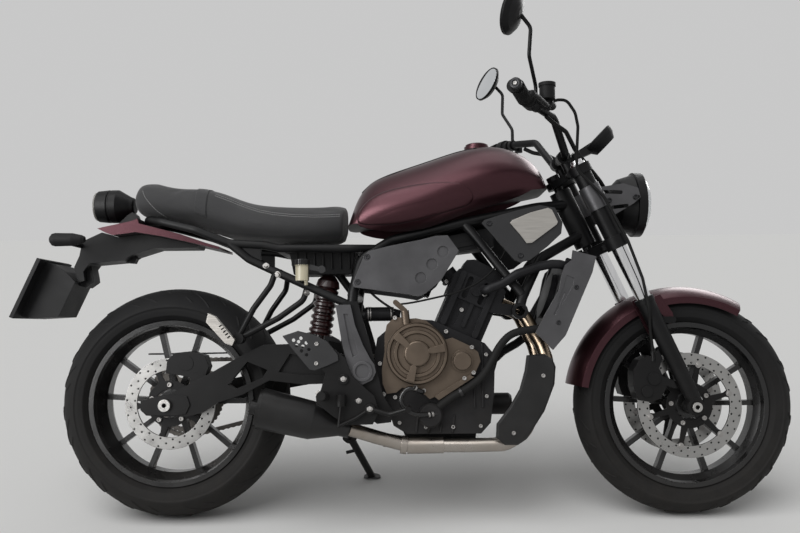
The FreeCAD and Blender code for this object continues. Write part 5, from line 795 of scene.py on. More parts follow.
# %% Small round shapes to copy
def add_pin(bm, start, end, radius, segments=16, tip=None):
    """A capped round pin from start to end; tip is the radius at its end."""
    start, end = Vector(start), Vector(end)
    line = end - start
    made = bmesh.ops.create_cone(bm, cap_ends=True, segments=segments, radius1=radius,
                                 radius2=radius if tip is None else tip, depth=line.length)["verts"]
    turn = line.to_track_quat("Z", "Y").to_matrix().to_4x4()
    bmesh.ops.transform(bm, matrix=Matrix.Translation((start + end) / 2) @ turn, verts=made)


def add_bolt(bm, foot, along, radius, height):
    """A hexagon head on a washer, with a chamfered top."""
    add_pin(bm, foot, foot + along * height * 0.2, radius * 1.3, 20)
    add_pin(bm, foot + along * height * 0.2, foot + along * height, radius, 6, radius * 0.94)


def add_cap_screw(bm, foot, along, radius, height):
    """A round head with a hexagon socket sunk in it."""
    start = len(bm.faces)
    add_pin(bm, foot, foot + along * height, radius, 18, radius * 0.95)
    bm.faces.ensure_lookup_table()
    top = max(bm.faces[start:], key=lambda face: face.calc_center_median().dot(along) + len(face.verts))
    bmesh.ops.inset_region(bm, faces=[top], thickness=radius * 0.42, depth=0)
    bmesh.ops.inset_region(bm, faces=[top], thickness=radius * 0.03, depth=-height * 0.5)


def round_the_axle(centre, reach, count, phase):
    """Places round an axle, in the wheel's plane."""
    for index in range(count):
        turn = math.radians(phase) + math.tau * index / count
        yield centre + Vector((math.cos(turn), 0, math.sin(turn))) * reach


# %% Bobbins, disc bolts and valves
CARRIER_HALF = 0.0025
BOBBIN_CIRCLE = 0.1115
BOLT_CIRCLE = 0.051
bobbins, front_bolts, rear_bolts = bmesh.new(), bmesh.new(), bmesh.new()
for side in (-1, 1):
    for place in round_the_axle(FRONT_WHEEL, BOBBIN_CIRCLE, 6, 16):
        spot = place + sideways(side * DISC_PLANE)
        for half, radius, segments in ((0.0042, 0.0082, 20), (0.0048, 0.0046, 16)):
            add_pin(bobbins, spot - sideways(half), spot + sideways(half), radius, segments)
    for place in round_the_axle(FRONT_WHEEL, BOLT_CIRCLE, 5, 30):
        add_cap_screw(front_bolts, place + sideways(side * (DISC_PLANE + CARRIER_HALF)), sideways(side),
                      0.0065, 0.005)
for place in round_the_axle(REAR_WHEEL, BOLT_CIRCLE, 5, 20):
    add_cap_screw(rear_bolts, place + sideways(REAR_DISC_PLANE - CARRIER_HALF), sideways(-1), 0.0065, 0.005)
finish_piece("front_disc_bobbins", bobbins, "zinc_bolt", "front_wheel", smooth=False)
finish_piece("front_disc_bolts", front_bolts, "zinc_bolt", "front_wheel", smooth=False)
finish_piece("rear_disc_bolts", rear_bolts, "zinc_bolt", "rear_wheel", smooth=False)

VALVE_TURN = math.radians(250)
VALVE_CIRCLE = 0.1935
for label, wheel in (("front", FRONT_WHEEL), ("rear", REAR_WHEEL)):
    valve = bmesh.new()
    out = Vector((math.cos(VALVE_TURN), 0, math.sin(VALVE_TURN)))
    root = wheel + out * VALVE_CIRCLE
    for near, far, radius, segments, tip in ((0, 0.012, 0.0052, 16, 0.0042), (0.011, 0.030, 0.0026, 12, None),
                                             (0.028, 0.038, 0.0042, 12, None)):
        add_pin(valve, root - out * near, root - out * far, radius, segments, tip)
    finish_piece(label + "_valve", valve, "zinc_bolt", label + "_wheel", smooth=False)

# %% [markdown]
# The seat is a thin foam pad on a base, covered in cloth that is pulled down over
# its edges. A copy of the model's solid is turned into an even skin of small
# quads, and the cloth solver blows it up a little under pressure, which rounds it
# the way packed foam does. The sewn lines come afterwards, because the skin's
# quads are too large to hold them.

# %% Blow the seat up as cloth
SEAT_SHRINK = 0.003
SEAT_VOXEL = 0.007
SEAT_SWELL = 0.006
CLOTH_FRAMES = 20
CLOTH = {"use_pressure": True, "uniform_pressure_force": 4.0, "tension_stiffness": 25,
         "compression_stiffness": 25, "bending_stiffness": 4, "quality": 6}


def blown_up(seat):
    """Where pressure takes the skin's points."""
    cloth = seat.modifiers.new("foam", "CLOTH")
    for label, value in CLOTH.items():
        setattr(cloth.settings, label, value)
    cloth.settings.effector_weights.gravity = 0.0
    cloth.point_cache.frame_start = 1
    cloth.point_cache.frame_end = CLOTH_FRAMES
    for number in range(1, CLOTH_FRAMES + 1):
        bpy.context.scene.frame_set(number)
    swollen = evaluated_mesh(seat)
    seat.modifiers.clear()
    bpy.context.scene.frame_set(1)
    return [vert.co.copy() for vert in swollen.vertices]


def make_seat():
    bm = bmesh.new()
    bm.from_mesh(NODES["seat"].data)
    bmesh.ops.remove_doubles(bm, verts=bm.verts, dist=0.00002)
    bm.transform(UPRIGHT)
    for vert in bm.verts:
        vert.co -= vert.normal * SEAT_SHRINK
    seat = add_object("seat_cover", mesh_from(bm, "seat_cover"))
    remesh = seat.modifiers.new("even_skin", "REMESH")
    remesh.mode = "VOXEL"
    remesh.voxel_size = SEAT_VOXEL
    skin = evaluated_mesh(seat)
    seat.modifiers.clear()
    seat.data = skin
    before = [vert.co.copy() for vert in skin.vertices]
    after = blown_up(seat)
    bm = bmesh.new()
    bm.from_mesh(skin)
    bm.verts.ensure_lookup_table()
    for vert, start, end in zip(bm.verts, before, after):
        move = end - start
        if move.length > SEAT_SWELL:
            move *= SEAT_SWELL / move.length
        vert.co = start + move
    even_out(bm, bm.verts)
    bpy.data.objects.remove(seat)
    cover = finish_piece("seat_cover", bm, "seat_cloth", stands_for=("seat",))
    subdivision = cover.modifiers.new("fine_skin", "SUBSURF")
    subdivision.levels = 1
    subdivision.render_levels = 1
    return cover


SEAT = make_seat()

# %% [markdown]
# Bolts and screws sit on the surfaces that carry them. Each place is given as a
# point seen from the side, and a ray sent in from that side finds the face of the
# model it lands on, with its slope. Each foot goes a little way in, against gaps.
# Most places serve both sides; the left cover's bolts are set back a little, and
# only the right side has a heat shield.

# %% Land a fastener on the model
SURFACES = {}
SINK = 0.0008
RAY_START = 0.8
FACES_SIDE = 0.6


def surface_of(node):
    """A search tree over a node's mesh in the upright frame."""
    if node not in SURFACES:
        bm = bmesh.new()
        bm.from_mesh(NODES[node].data)
        bm.transform(UPRIGHT)
        SURFACES[node] = BVHTree.FromBMesh(bm)
        bm.free()
    return SURFACES[node]


def land(nodes, x, z, side):
    """The outermost point of these nodes at (x, z) mm, seen from one side, and its normal."""
    best = None
    start = Vector((x / 1000, side * RAY_START, z / 1000))
    for node in nodes:
        place, normal, _, _ = surface_of(node).ray_cast(start, sideways(-side))
        if place is not None and (best is None or place.y * side > best[0].y * side):
            best = (place, normal if normal.y * side > 0 else -normal)
    return best


def fasteners(name, nodes, places, radius, height, finish="zinc_bolt", kind=add_cap_screw, side=-1, body="chassis"):
    """One mesh of like fasteners; a place that lands on nothing is left out and named."""
    bm = bmesh.new()
    for x, z in places:
        hit = land(nodes, x, z, side)
        if hit is None:
            print(name, "has nothing at", x, z)
            continue
        along = hit[1] if abs(hit[1].y) > FACES_SIDE else sideways(side)
        kind(bm, hit[0] - along * SINK, along.normalized(), radius, height + SINK)
    finish_piece(name, bm, finish, body, smooth=False)


def on_both_sides(name, *facts):
    fasteners(name, *facts, side=-1)
    fasteners("left_" + name, *facts, side=1)


ENGINE_NODES = ("engine_covers", "engine_crankcase", "engine_cylinders")
COVER_BOLTS = ((746, 502), (813, 460), (817, 393), (792, 379), (685, 347), (569, 418), (610, 539), (579, 337),
               (609, 329))
fasteners("engine_cover_bolts", ENGINE_NODES, COVER_BOLTS, 0.0058, 0.006)
fasteners("left_cover_bolts", ENGINE_NODES + ("sprocket_cover",), [(x - 6, z) for x, z in COVER_BOLTS],
          0.0058, 0.006, side=1)
on_both_sides("side_cover_screws", ("side_covers",), ((539, 700), (514, 634)), 0.0062, 0.0028, "black_bolt")
on_both_sides("intake_screws", ("intake_covers",), ((862, 786), (943, 700)), 0.006, 0.003, "black_bolt")
on_both_sides("cowl_screws", ("radiator_cowls",), ((1089, 616), (1040, 524)), 0.0062, 0.003, "black_bolt")
fasteners("heat_shield_screws", ("heat_shield",), ((998, 385), (918, 237)), 0.0055, 0.004)
on_both_sides("heel_guard_screws", ("heel_guards",), ((408, 473), (407, 423)), 0.0055, 0.003)
on_both_sides("frame_bolts", ("main_frame", "subframe"), ((297, 658), (376, 608), (265, 682)),
              0.0068, 0.006, "zinc_bolt", add_bolt)
on_both_sides("footrest_bolts", ("main_frame", "rider_footrests", "heel_guards", "foot_levers"),
              ((477, 384), (516, 328), (545, 308), (413, 346)), 0.0062, 0.005, "zinc_bolt", add_bolt)

# %% [markdown]
# The headlamp is a dome of glass over a polished dish with its bulb. The plain
# glass of the model is solid, so a thin dome of the same form takes its place, and
# the dish and the bulb sit inside it where they can be seen.

# %% Lamp glass, dish and bulb
GLASS_DOME = [(0.0005, 1.0), (0.016, 1.0), (0.021, 0.955), (0.026, 0.88), (0.031, 0.76), (0.0345, 0.6),
              (0.0375, 0.42), (0.0390, 0.24), (0.0396, 0)]
BULB = [(0.001, 0), (0.001, 0.011), (0.006, 0.011), (0.008, 0.008), (0.018, 0.008), (0.022, 0.0075),
        (0.0245, 0.005), (0.0255, 0)]
glass_low, glass_high = upright_box("headlamp_lens")
LAMP_RADIUS = (glass_high.z - glass_low.z) / 2
LAMP_BASE = Vector((glass_low.x, 0, (glass_low.z + glass_high.z) / 2))


def lamp_profile(shares):
    return [(far, share * LAMP_RADIUS) for far, share in shares]


inside = [(far - 0.002, share * 0.97) for far, share in reversed(GLASS_DOME[1:])] + [(0.0005, 0.965)]
spun_piece("headlamp_glass", lamp_profile(GLASS_DOME + inside + GLASS_DOME[:1]), LAMP_BASE, FORWARD, "lamp_glass",
           "steering", 64, stands_for=("headlamp_lens",))
bowl = [(0.0008, 0), (0.0008, 0.012), (0.0022, 0.020), (0.0050, 0.036), (0.0085, 0.050)]
edge = lamp_profile([(0.0125, 0.93), (0.0155, 0.945), (0.0155, 0.955), (0.0004, 0.955), (0.0004, 0)])
spun_piece("headlamp_dish", bowl + edge, LAMP_BASE, FORWARD, "reflector", "steering", 64)
spun_piece("headlamp_bulb", BULB, LAMP_BASE, FORWARD, "zinc_bolt", "steering", 24, slot="fork_chrome")
rings = bmesh.new()
for index in range(3):
    grow = 0.16 * index
    ring = lamp_profile([(0.004, 0.30 + grow), (0.0052, 0.31 + grow), (0.0052, 0.325 + grow), (0.004, 0.335 + grow),
                         (0.004, 0.30 + grow)])
    spin_profile(rings, ring, LAMP_BASE + FORWARD * 0.0035 * index, FORWARD, 64)
finish_piece("headlamp_dish_rings", rings, "reflector", "steering")

# %% [markdown]
# Each mirror is a flat silvered disc set just inside the rim of its shell. Its
# place is found from the model: the rim's points are those that reach furthest
# the way the mirror faces.

# %% Mirror glasses
MIRROR_OUT = math.radians(26)
MIRROR_UP = math.radians(20)
MIRROR_SPAN = 0.16
MIRROR_RIM = 0.0005
mirror_points = upright_points("mirrors")
mirror_top = max(point.z for point in mirror_points)
for label, side in SIDES:
    facing = Matrix.Rotation(side * MIRROR_OUT, 3, "Z") @ Vector((-math.cos(MIRROR_UP), 0, math.sin(MIRROR_UP)))
    head = [point for point in mirror_points if point.y * side > 0 and point.z > mirror_top - MIRROR_SPAN]
    reach = max(point.dot(facing) for point in head)
    rim = [point for point in head if point.dot(facing) > reach - MIRROR_RIM]
    middle = mean(rim)
    radius = max((point - middle).length for point in rim)
    print(label, "mirror radius:", round(radius, 4), "rim points:", len(rim))
    pane = [(-0.001, 0), (-0.001, radius * 0.94), (0.0008, radius * 0.94), (0.0012, radius * 0.92), (0.0012, 0)]
    lip = [(-0.002, radius), (0.0018, radius), (0.0024, radius * 0.985), (0.0018, radius * 0.955),
           (-0.002, radius * 0.955), (-0.002, radius)]
    spun_piece(label + "_mirror_glass", pane, middle, facing, "mirror_glass", "steering")
    spun_piece(label + "_mirror_lip", lip, middle, facing, "black_plastic", "steering")

# %% [markdown]
# The instrument is a round dark display. The short marks round its edge and the
# pale liquid-crystal window are generic, and a low ring closes the edge.

# %% Instrument face
METER_TILT = math.radians(46)
METER_UP = Vector((-math.sin(METER_TILT), 0, math.cos(METER_TILT)))
METER_BACK = Vector((-math.cos(METER_TILT), 0, -math.sin(METER_TILT)))
MARK_COUNT = 25
MARK_LIFT = 0.0009
METER_RIM = 0.0004
meter_points = upright_points("instrument")
top = max(point.dot(METER_UP) for point in meter_points)
rim = [point for point in meter_points if point.dot(METER_UP) > top - METER_RIM]
METER = mean(rim)
METER_RADIUS = max((point - METER).length for point in rim)
print("meter radius:", round(METER_RADIUS, 4))
face = [(0.0001, 0), (0.0001, METER_RADIUS * 0.9), (0.0008, METER_RADIUS * 0.9), (0.0008, 0)]
spun_piece("meter_face", face, METER, METER_UP, "meter_face", "steering")
marks = bmesh.new()
for index in range(MARK_COUNT):
    turn = math.radians(-130 + 260 * index / (MARK_COUNT - 1))
    out = METER_BACK * -math.cos(turn) + ACROSS * math.sin(turn)
    start = METER + METER_UP * MARK_LIFT + out * METER_RADIUS * 0.84
    add_pin(marks, start, start - out * (0.010 if index % 4 == 0 else 0.006), 0.0006, 8)
window = bmesh.ops.create_cube(marks, size=1.0)["verts"]
basis = Matrix((METER_BACK, ACROSS, METER_UP)).transposed().to_4x4()
place = Matrix.Translation(METER + METER_UP * MARK_LIFT + METER_BACK * 0.004)
bmesh.ops.transform(marks, matrix=place @ basis @ Matrix.Diagonal((0.030, 0.052, 0.0008, 1)), verts=window)
finish_piece("meter_marks", marks, "meter_marks", "steering", smooth=False)
ring = [(0.0, METER_RADIUS * 0.99), (0.0022, METER_RADIUS * 0.985), (0.0026, METER_RADIUS * 0.955),
        (0.0014, METER_RADIUS * 0.9), (0.0, METER_RADIUS * 0.9), (0.0, METER_RADIUS * 0.99)]
spun_piece("meter_ring", ring, METER, METER_UP, "black_plastic", "steering")

# %% [markdown]
# Hoses and cables are tubes swept along a smooth curve, and each clamp is a short
# ring round its hose.

# %% Hoses, cables and clamps
def swept(points, radius, resolution=6):
    """The mesh of a round tube along a NURBS line through these upright mm points."""
    curve = bpy.data.curves.new("route", "CURVE")
    curve.dimensions = "3D"
    spline = curve.splines.new("NURBS")
    spline.points.add(len(points) - 1)
    for control, point in zip(spline.points, points):
        control.co = (*(value / 1000 for value in point), 1)
    spline.order_u = 3
    spline.use_endpoint_u = True
    curve.resolution_u = resolution
    curve.bevel_depth = radius / 1000
    curve.bevel_resolution = 4
    curve.use_fill_caps = True
    holder = bpy.data.objects.new("route", curve)
    mesh = bpy.data.meshes.new_from_object(holder)
    bpy.data.objects.remove(holder)
    bpy.data.curves.remove(curve)
    return mesh


HOSES = (  # name, finish, then the radius and the route of each tube, in mm
    ("pump_hose", "soft_rubber",
     (10.5, ((1030, -122, 530), (1004, -134, 508), (962, -136, 506), (915, -140, 496), (884, -142, 462),
             (868, -142, 430), (842, -142, 384), (798, -142, 351), (748, -140, 326), (716, -138, 298)))),
    ("oil_loop_hose", "gloss_black",
     (6, ((725, -146, 289), (671, -160, 284), (638, -165, 298), (620, -165, 325), (634, -165, 352),
          (656, -164, 358), (684, -150, 344)))),
    ("engine_cables", "soft_rubber",
     (2.6, ((626, -140, 576), (650, -150, 578), (700, -150, 588), (780, -140, 606), (850, -120, 640),
            (905, -96, 700), (940, -80, 780))),
     (3.2, ((610, -120, 560), (560, -118, 590), (520, -110, 640), (505, -100, 700))),
     (4.5, ((690, -92, 610), (640, -88, 640), (600, -80, 690), (560, -70, 730))),
     (4.0, ((880, -96, 420), (868, -104, 380), (846, -108, 340), (852, -106, 300)))))
for name, finish, *tubes in HOSES:
    bm = bmesh.new()
    for radius, route in tubes:
        take_in(bm, swept(route, radius))
    finish_piece(name, bm, finish)

CLAMPS = (  # name, finish, radius, width, then where each clamp starts and a point it faces, in mm
    ("hose_clamps", "zinc_bolt", 0.006, 0.005, ((709, -151, 288), (690, -156, 285)),
     ((660, -164, 358), (676, -154, 349)), ((700, -154, 287), (690, -156, 285))),
    ("pump_hose_clamps", "black_bolt", 0.0106, 0.008, ((786, -142, 345), (760, -141, 331)),
     ((1010, -132, 511), (990, -135, 507))))
for name, finish, radius, width, *spots in CLAMPS:
    bm = bmesh.new()
    for start, toward in spots:
        along = (mm(*toward) - mm(*start)).normalized()
        spin_profile(bm, flat_ring(radius, radius + 0.0014, width), mm(*start), along, 24)
    finish_piece(name, bm, finish, smooth=False)

# %% [markdown]
# Behind the side cover the photograph shows dark parts of the engine: here these
# are the starter motor with its bands and the ringed rubber boots of the intakes.

# %% Starter motor and throttle boots
starter, bands, boots = bmesh.new(), bmesh.new(), bmesh.new()
for start, end, radius, tip in (((530, -84, 551), (606, -84, 551), 19, 19),
                                ((522, -84, 551), (531, -84, 551), 14, 18),
                                ((606, -84, 551), (624, -84, 549), 15, 12)):
    add_pin(starter, mm(*start), mm(*end), radius / 1000, 40, tip / 1000)
for x in (536, 542, 598):
    spin_profile(bands, flat_ring(0.019, 0.0198, 0.0035), mm(x, -84, 551), FORWARD, 40)
BOOT_RING = [(0.0, 0.022), (0.002, 0.0255), (0.007, 0.0255), (0.009, 0.022), (0.0, 0.022)]
for y in (-45, 45):
    for ring in range(5):
        spin_profile(boots, BOOT_RING, mm(636 + ring * 8, y, 640 - ring * 3), (0.93, 0, -0.35), 36)
finish_piece("starter_motor", starter, "engine_casting", smooth=False)
finish_piece("starter_bands", bands, "zinc_bolt", smooth=False)
finish_piece("throttle_boots", boots, "soft_rubber")

# %% [markdown]
# Under the seat sits the battery case, a moulded box with ribs on its sides and a
# flange at its top. Ahead of it a cast bar joins the two throttle bodies.

# %% Battery case and throttle bodies
CASE_TOP = 730
CASE_HEIGHT = 68
CASE_MIDDLE = 0.41
CASE_END_SLOPE = 0.012
CASE_SIDE_TAPER = 0.10
CASE_EDGE = 0.002


def add_block(bm, low, high):
    """A plain block between two upright mm corners."""
    low, high = mm(*low), mm(*high)
    verts = bmesh.ops.create_cube(bm, size=1.0)["verts"]
    matrix = Matrix.Translation((low + high) / 2) @ Matrix.Diagonal((*(high - low), 1))
    bmesh.ops.transform(bm, verts=verts, matrix=matrix)


case = bmesh.new()
add_block(case, (318, -66, 662), (502, 66, CASE_TOP))
bmesh.ops.subdivide_edges(case, edges=case.edges[:], cuts=3, use_grid_fill=True)
for vert in case.verts:
    drop = (CASE_TOP - vert.co.z * 1000) / CASE_HEIGHT
    vert.co.x += CASE_END_SLOPE * drop * (1 if vert.co.x < CASE_MIDDLE else -1)
    vert.co.y *= 1 - CASE_SIDE_TAPER * drop
add_block(case, (312, -92, 726), (508, 92, 731))
for step in range(7):
    x = 338 + step * 24
    for side in (-1, 1):
        add_block(case, (x, side * 65 - 2.5, 676), (x + 5, side * 65 + 2.5, 727))
bevel = finish_piece("battery_case", case, "black_plastic").modifiers.new("soft_edges", "BEVEL")
bevel.width = CASE_EDGE
bevel.segments = 2
bevel.limit_method = "ANGLE"
bevel.angle_limit = math.radians(30)
bevel.harden_normals = True

throttle = bmesh.new()
bore = Vector((0.93, 0, -0.36))
add_pin(throttle, mm(672, -82, 632), mm(672, 82, 632), 0.016, 40)
for y in (-45, 45):
    add_pin(throttle, mm(640, y, 648), mm(712, y, 620), 0.024, 40)
    for far in (0.0, 0.055):
        spin_profile(throttle, flat_ring(0.024, 0.0262, 0.007), mm(646, y, 646) + bore * far, bore, 40)
add_pin(throttle, mm(672, -96, 632), mm(672, -82, 632), 0.022, 40)
finish_piece("throttle_bodies", throttle, "engine_casting", smooth=False)

# %% [markdown]
# Raised lines break up the crankcase and the sump, and more bolts go round the case
# and on the cylinders. The left side, hidden in the photograph, has the same ones.

# %% Ribs and bolts on the castings
def ribs_on(name, nodes, lines, half, proud, side, finish):
    """Low rounded bars on a casting: each runs between two places seen from the side."""
    bm = bmesh.new()
    for first, last in lines:
        ends = [land(nodes, x, z, side) for x, z in (first, last)]
        if None in ends:
            print(name, "has nothing at", *first)
            continue
        start, end = ends[0][0], ends[1][0]
        along = (end - start).normalized()
        outward = ends[0][1] + ends[1][1]
        outward = (outward - along * outward.dot(along)).normalized()
        axes = Matrix((along, along.cross(outward), outward)).transposed().to_4x4()
        size = Matrix.Diagonal(((end - start).length, half * 2, proud * 2, 1))
        bar = bmesh.ops.create_cube(bm, size=1.0, matrix=Matrix.Translation((start + end) / 2) @ axes @ size)
        edges = list({edge for vert in bar["verts"] for edge in vert.link_edges})
        bmesh.ops.bevel(bm, geom=edges, offset=min(half, proud) * 0.5, affect="EDGES", segments=2, profile=0.5,
                        material=-1)
    finish_piece(name, bm, finish, smooth=False)


CASE = ("engine_crankcase",)
CASE_LINES = [((x, 236), (x + 6, 282)) for x in (664, 696, 728, 760)] + [
    ((842, 300), (842, 470)), ((820, 300), (820, 392))]
for label, side in SIDES:
    ribs_on(label + "_case_ribs", CASE, CASE_LINES, 0.0028, 0.0035, side, "engine_casting")
on_both_sides("case_bolts", CASE, ((620, 262), (690, 250), (762, 250), (835, 252), (852, 330), (852, 440)),
              0.0052, 0.0055)
on_both_sides("head_bolts", ("engine_cylinders",), ((752, 640), (850, 600), (790, 560)), 0.0060, 0.005)

# %% [markdown]
# The tank has a panel on each flank, and its outline was read from the photograph.
# There a thin lit edge runs along its top and a crease along its bottom, and it may
# be hollow; here it is raised by the same few millimetres all round. Rings of points
# between the outline and a line down its middle are dropped onto the tank from the
# side and lifted, so the panel follows the tank.

# %% Raised panels and trim on the tank
PANEL = [(508, 798), (509, 808), (513, 831), (529, 852), (545, 867), (577, 883), (616, 892), (656, 898), (709, 903),
         (748, 903), (788, 897), (814, 884), (824, 866), (821, 849), (806, 838), (734, 817), (681, 802), (618, 790),
         (565, 790), (532, 792)]
PANEL_POINTS = 150
PANEL_SPINE = (Vector((540, 0, 800)), Vector((790, 0, 868)))
PANEL_RISE = (  # share of the way to the spine, lift in mm
    (0, -1.5), (0.02, 0.6), (0.05, 2.0), (0.09, 2.9), (0.15, 3.3), (0.3, 3.4), (0.5, 3.4), (0.7, 3.4), (0.88, 3.4))
TRIM = ((500, 862), (520, 890), (540, 912), (580, 933), (622, 948), (690, 974), (759, 996), (800, 1006), (841, 1013))


def along_outline(points, count):
    """The same closed outline, as evenly spaced points."""
    points = [Vector((x, 0, z)) for x, z in points]
    runs = list(zip(points, points[1:] + points[:1]))
    total = sum((second - first).length for first, second in runs)
    out = []
    for index in range(count):
        far = total * index / count
        for first, second in runs:
            length = (second - first).length
            if far <= length:
                out.append(first.lerp(second, far / length))
                break
            far -= length
    return out


def land_on_tank(spot, side):
    """Where a place meets the tank; a place just under its edge is raised to the edge."""
    for lift in range(0, 60, 2):
        hit = land(("fuel_tank",), spot.x, spot.z + lift, side)
        if hit is not None:
            return hit[0]
    raise ValueError("no tank at %s, %s" % (spot.x, spot.z))


def toward_spine(point, share):
    """A point moved this share of the way to the nearest place on the spine."""
    start, run = PANEL_SPINE[0], PANEL_SPINE[1] - PANEL_SPINE[0]
    near = min(max((point - start).dot(run) / run.length_squared, 0), 1)
    return point.lerp(start + run * near, share)


def make_tank_panels():
    loop = along_outline(PANEL, PANEL_POINTS)
    for _ in range(3):
        loop = [(loop[index - 1] + loop[index] * 2 + loop[(index + 1) % len(loop)]) / 4 for index in range(len(loop))]
    bm = bmesh.new()
    for side in (-1, 1):
        outward = Vector((0, side, 0.35)).normalized()
        rings = [[bm.verts.new(land_on_tank(toward_spine(point, share), side) + outward * height / 1000)
                  for point in loop] for share, height in PANEL_RISE]
        borders = [[bm.edges.new(pair) for pair in zip(ring, ring[1:] + ring[:1])] for ring in rings]
        for outer, inner in zip(borders, borders[1:]):
            bmesh.ops.bridge_loops(bm, edges=outer + inner)
        for border in (borders[0], borders[-1]):
            bmesh.ops.contextual_create(bm, geom=border)
        even_out(bm, [vert for ring in rings[3:] for vert in ring])
    finish_piece("tank_panels", bm, "plum_paint")


make_tank_panels()
trim = bmesh.new()
for side in (-1, 1):
    hits = [land(("fuel_tank",), x, z, side) for x, z in TRIM]
    take_in(trim, swept([tuple(hit[0] * 1000) for hit in hits if hit is not None], 2.6, 8))
finish_piece("tank_trim", trim, "black_plastic")

# %% [markdown]
# The seams are rows of single stitches laid along the surface of the finished
# cover, a pair of rows on each flank and one round the hump behind. Their thread
# is a paler grey, so that it can be read on the black. The strap is the cover's
# own skin, cut out between two planes and lifted.

# %% Stitches and the strap
STITCH_PITCH = 5.6
STITCH_LENGTH = 3.8
STITCH_LIFT = 0.0003
STITCH_RADIUS = 0.0010
SEAM = [(118, 884), (160, 868), (201, 851), (240, 837), (282, 828), (330, 823), (389, 821), (430, 823), (462, 826)]
REAR_SEAM = [(-86, 896), (-78, 880), (-64, 862), (-44, 840), (-20, 822)]
SEAM_GAP = 6
STRAP_REAR = 0.066
STRAP_FRONT = 0.098
STRAP_LIFT = 0.0022

SEAT_SKIN = bmesh.new()
take_in(SEAT_SKIN, evaluated_mesh(SEAT))
SEAT_SKIN.transform(UPRIGHT)
SURFACES["seat_cover"] = BVHTree.FromBMesh(SEAT_SKIN)


def stitch_line(bm, points, side):
    points = [Vector((x, 0, z)) for x, z in points]
    for first, second in zip(points, points[1:]):
        steps = max(int((second - first).length / STITCH_PITCH), 1)
        for step in range(steps):
            spots = [first.lerp(second, share / steps) for share in (step, step + STITCH_LENGTH / STITCH_PITCH)]
            hits = [land(("seat_cover",), spot.x, spot.z, side) for spot in spots]
            if None in hits:
                continue
            start, end = [place + normal * STITCH_LIFT for place, normal in hits]
            if 0.001 < (end - start).length < 0.02:
                add_pin(bm, start, end, STITCH_RADIUS, 6)


stitches = bmesh.new()
for side in (-1, 1):
    for line in (SEAM, [(x, z - SEAM_GAP) for x, z in SEAM], REAR_SEAM):
        stitch_line(stitches, line, side)
finish_piece("seat_stitches", stitches, "seam_thread", smooth=False)

strap = SEAT_SKIN.copy()
for x, keep in ((STRAP_REAR, 1), (STRAP_FRONT, -1)):
    bmesh.ops.bisect_plane(strap, geom=strap.verts[:] + strap.edges[:] + strap.faces[:], plane_co=(x, 0, 0),
                           plane_no=(-keep, 0, 0), clear_outer=True)
bmesh.ops.delete(strap, geom=[face for face in strap.faces if face.normal.z < -0.5], context="FACES")
lifted = extrude_all(strap)
strap.normal_update()
for vert in lifted:
    vert.co += vert.normal * STRAP_LIFT
finish_piece("seat_strap", strap, "seat_cloth", smooth=False)

# %% [markdown]
# Rubber grips are moulded in rings, and a round weight closes each bar end. The
# line of a grip is found from the grip's own points.

# %% Grip rings and bar ends
GRIP_RINGS = 22
GRIP_END = 0.012
WEIGHT = [(0, 0), (0, 0.0135), (0.002, 0.0150), (0.010, 0.0150), (0.013, 0.0125), (0.0135, 0.006),
          (0.0115, 0.005), (0.0115, 0)]
grip_points = upright_points("grips")
rings, weights, end_screws = bmesh.new(), bmesh.new(), bmesh.new()
for side in (-1, 1):
    own = [point for point in grip_points if point.y * side > 0]
    reaches = [point.y * side for point in own]
    outer = mean([point for point in own if point.y * side > max(reaches) - GRIP_END])
    inner = mean([point for point in own if point.y * side < min(reaches) + GRIP_END])
    along = (outer - inner).normalized()
    radii = sorted(((point - outer) - along * (point - outer).dot(along)).length for point in own)
    radius = radii[len(radii) // 2]
    ring = [(-0.0016, radius - 0.0004), (-0.0009, radius + 0.0007), (0.0009, radius + 0.0007),
            (0.0016, radius - 0.0004), (-0.0016, radius - 0.0004)]
    for index in range(GRIP_RINGS):
        share = 0.06 + 0.86 * index / (GRIP_RINGS - 1)
        spin_profile(rings, ring, inner + along * ((outer - inner).length * share), along, 28)
    end = outer + along * 0.006
    spin_profile(weights, WEIGHT, end, along, 32)
    add_cap_screw(end_screws, end + along * 0.0118, along, 0.0046, 0.003)
finish_piece("grip_rings", rings, "soft_rubber", "steering")
finish_piece("bar_end_weights", weights, "black_bolt", "steering")
finish_piece("bar_end_screws", end_screws, "zinc_bolt", "steering", smooth=False)

# %% [markdown]
# The tail lamp is a black bullet with a dark red lens set in its open end and a
# thin pale ring round it.

# %% Tail lens and ring
TAIL_MOUTH = 0.012
tail_end = upright_box("tail_lamp")[0].x
heights = [point.z for point in upright_points("tail_lamp") if point.x < tail_end + TAIL_MOUTH]
TAIL = Vector((tail_end, 0, (max(heights) + min(heights)) / 2))
TAIL_RADIUS = (max(heights) - min(heights)) / 2
print("tail lamp radius:", round(TAIL_RADIUS, 4))


def tail_profile(shares):
    return [(far, TAIL_RADIUS * share) for far, share in shares]


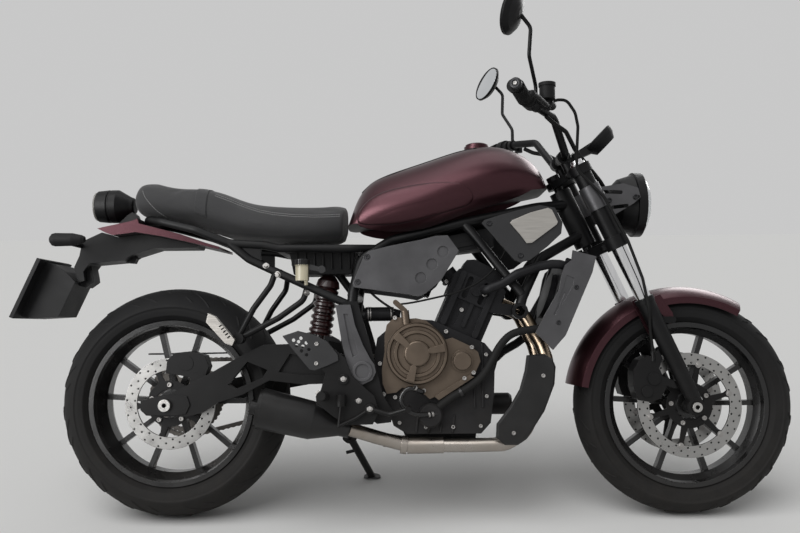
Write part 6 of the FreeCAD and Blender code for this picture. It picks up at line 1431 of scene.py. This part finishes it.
lens = bmesh.new()
dome = tail_profile([(0.0004, 0), (0.0008, 0.3), (0.0020, 0.6), (0.0042, 0.78), (0.009, 0.80), (0.009, 0)])
spin_profile(lens, dome, TAIL - FORWARD * 0.0045, FORWARD)
for index in range(5):
    grow = 0.13 * index
    ring = tail_profile([(0.0002, 0.12 + grow), (-0.0006, 0.15 + grow), (0.0008, 0.18 + grow), (0.0002, 0.12 + grow)])
    spin_profile(lens, ring, TAIL - FORWARD * (0.0038 - 0.0004 * index), FORWARD)
finish_piece("tail_lens", lens, "lamp_plastic")
ring = tail_profile([(-0.001, 0.82), (-0.0018, 0.87), (-0.001, 0.92), (0.004, 0.93), (0.004, 0.82), (-0.001, 0.82)])
spun_piece("tail_lens_ring", ring, TAIL, FORWARD, "pale_lens", "chassis")

# %% Lamp bracket bolts, peg rubbers and ribs of the reservoir cap
CAP_RIBS = 28
CAP_BAND = 0.012
CAP_RIB_FOOT = 0.016
CAP_RIB_HEIGHT = 0.015
PEG_LINES = [((140 + step * 5.4, 541 - step * 7.2), (147 + step * 5.4, 546 - step * 7.2)) for step in range(3, 8)]
for label, side in SIDES:
    fasteners(label + "_lamp_bolts", ("headlamp_brackets",), ((1196, 855), (1268, 864)), 0.0072, 0.005,
              "black_bolt", side=side, body="steering")
    ribs_on(label + "_pillion_rubbers", ("pillion_pegs",), PEG_LINES, 0.0016, 0.0022, side, "soft_rubber")
cap_ribs = bmesh.new()
cap = [point for point in reservoir_points if point.z > RESERVOIR_TOP - CAP_BAND and point.x < RESERVOIR_FRONT]
middle = mean(cap)
cap_radius = max(math.hypot(point.x - middle.x, point.y - middle.y) for point in cap)
for index in range(CAP_RIBS):
    turn = math.tau * index / CAP_RIBS
    out = Vector((math.cos(turn), math.sin(turn), 0)) * cap_radius
    foot = Vector((middle.x, middle.y, RESERVOIR_TOP - CAP_RIB_FOOT)) + out
    add_pin(cap_ribs, foot, foot + Vector((0, 0, CAP_RIB_HEIGHT)), 0.0011, 8)
finish_piece("reservoir_cap_ribs", cap_ribs, "black_plastic", smooth=False)
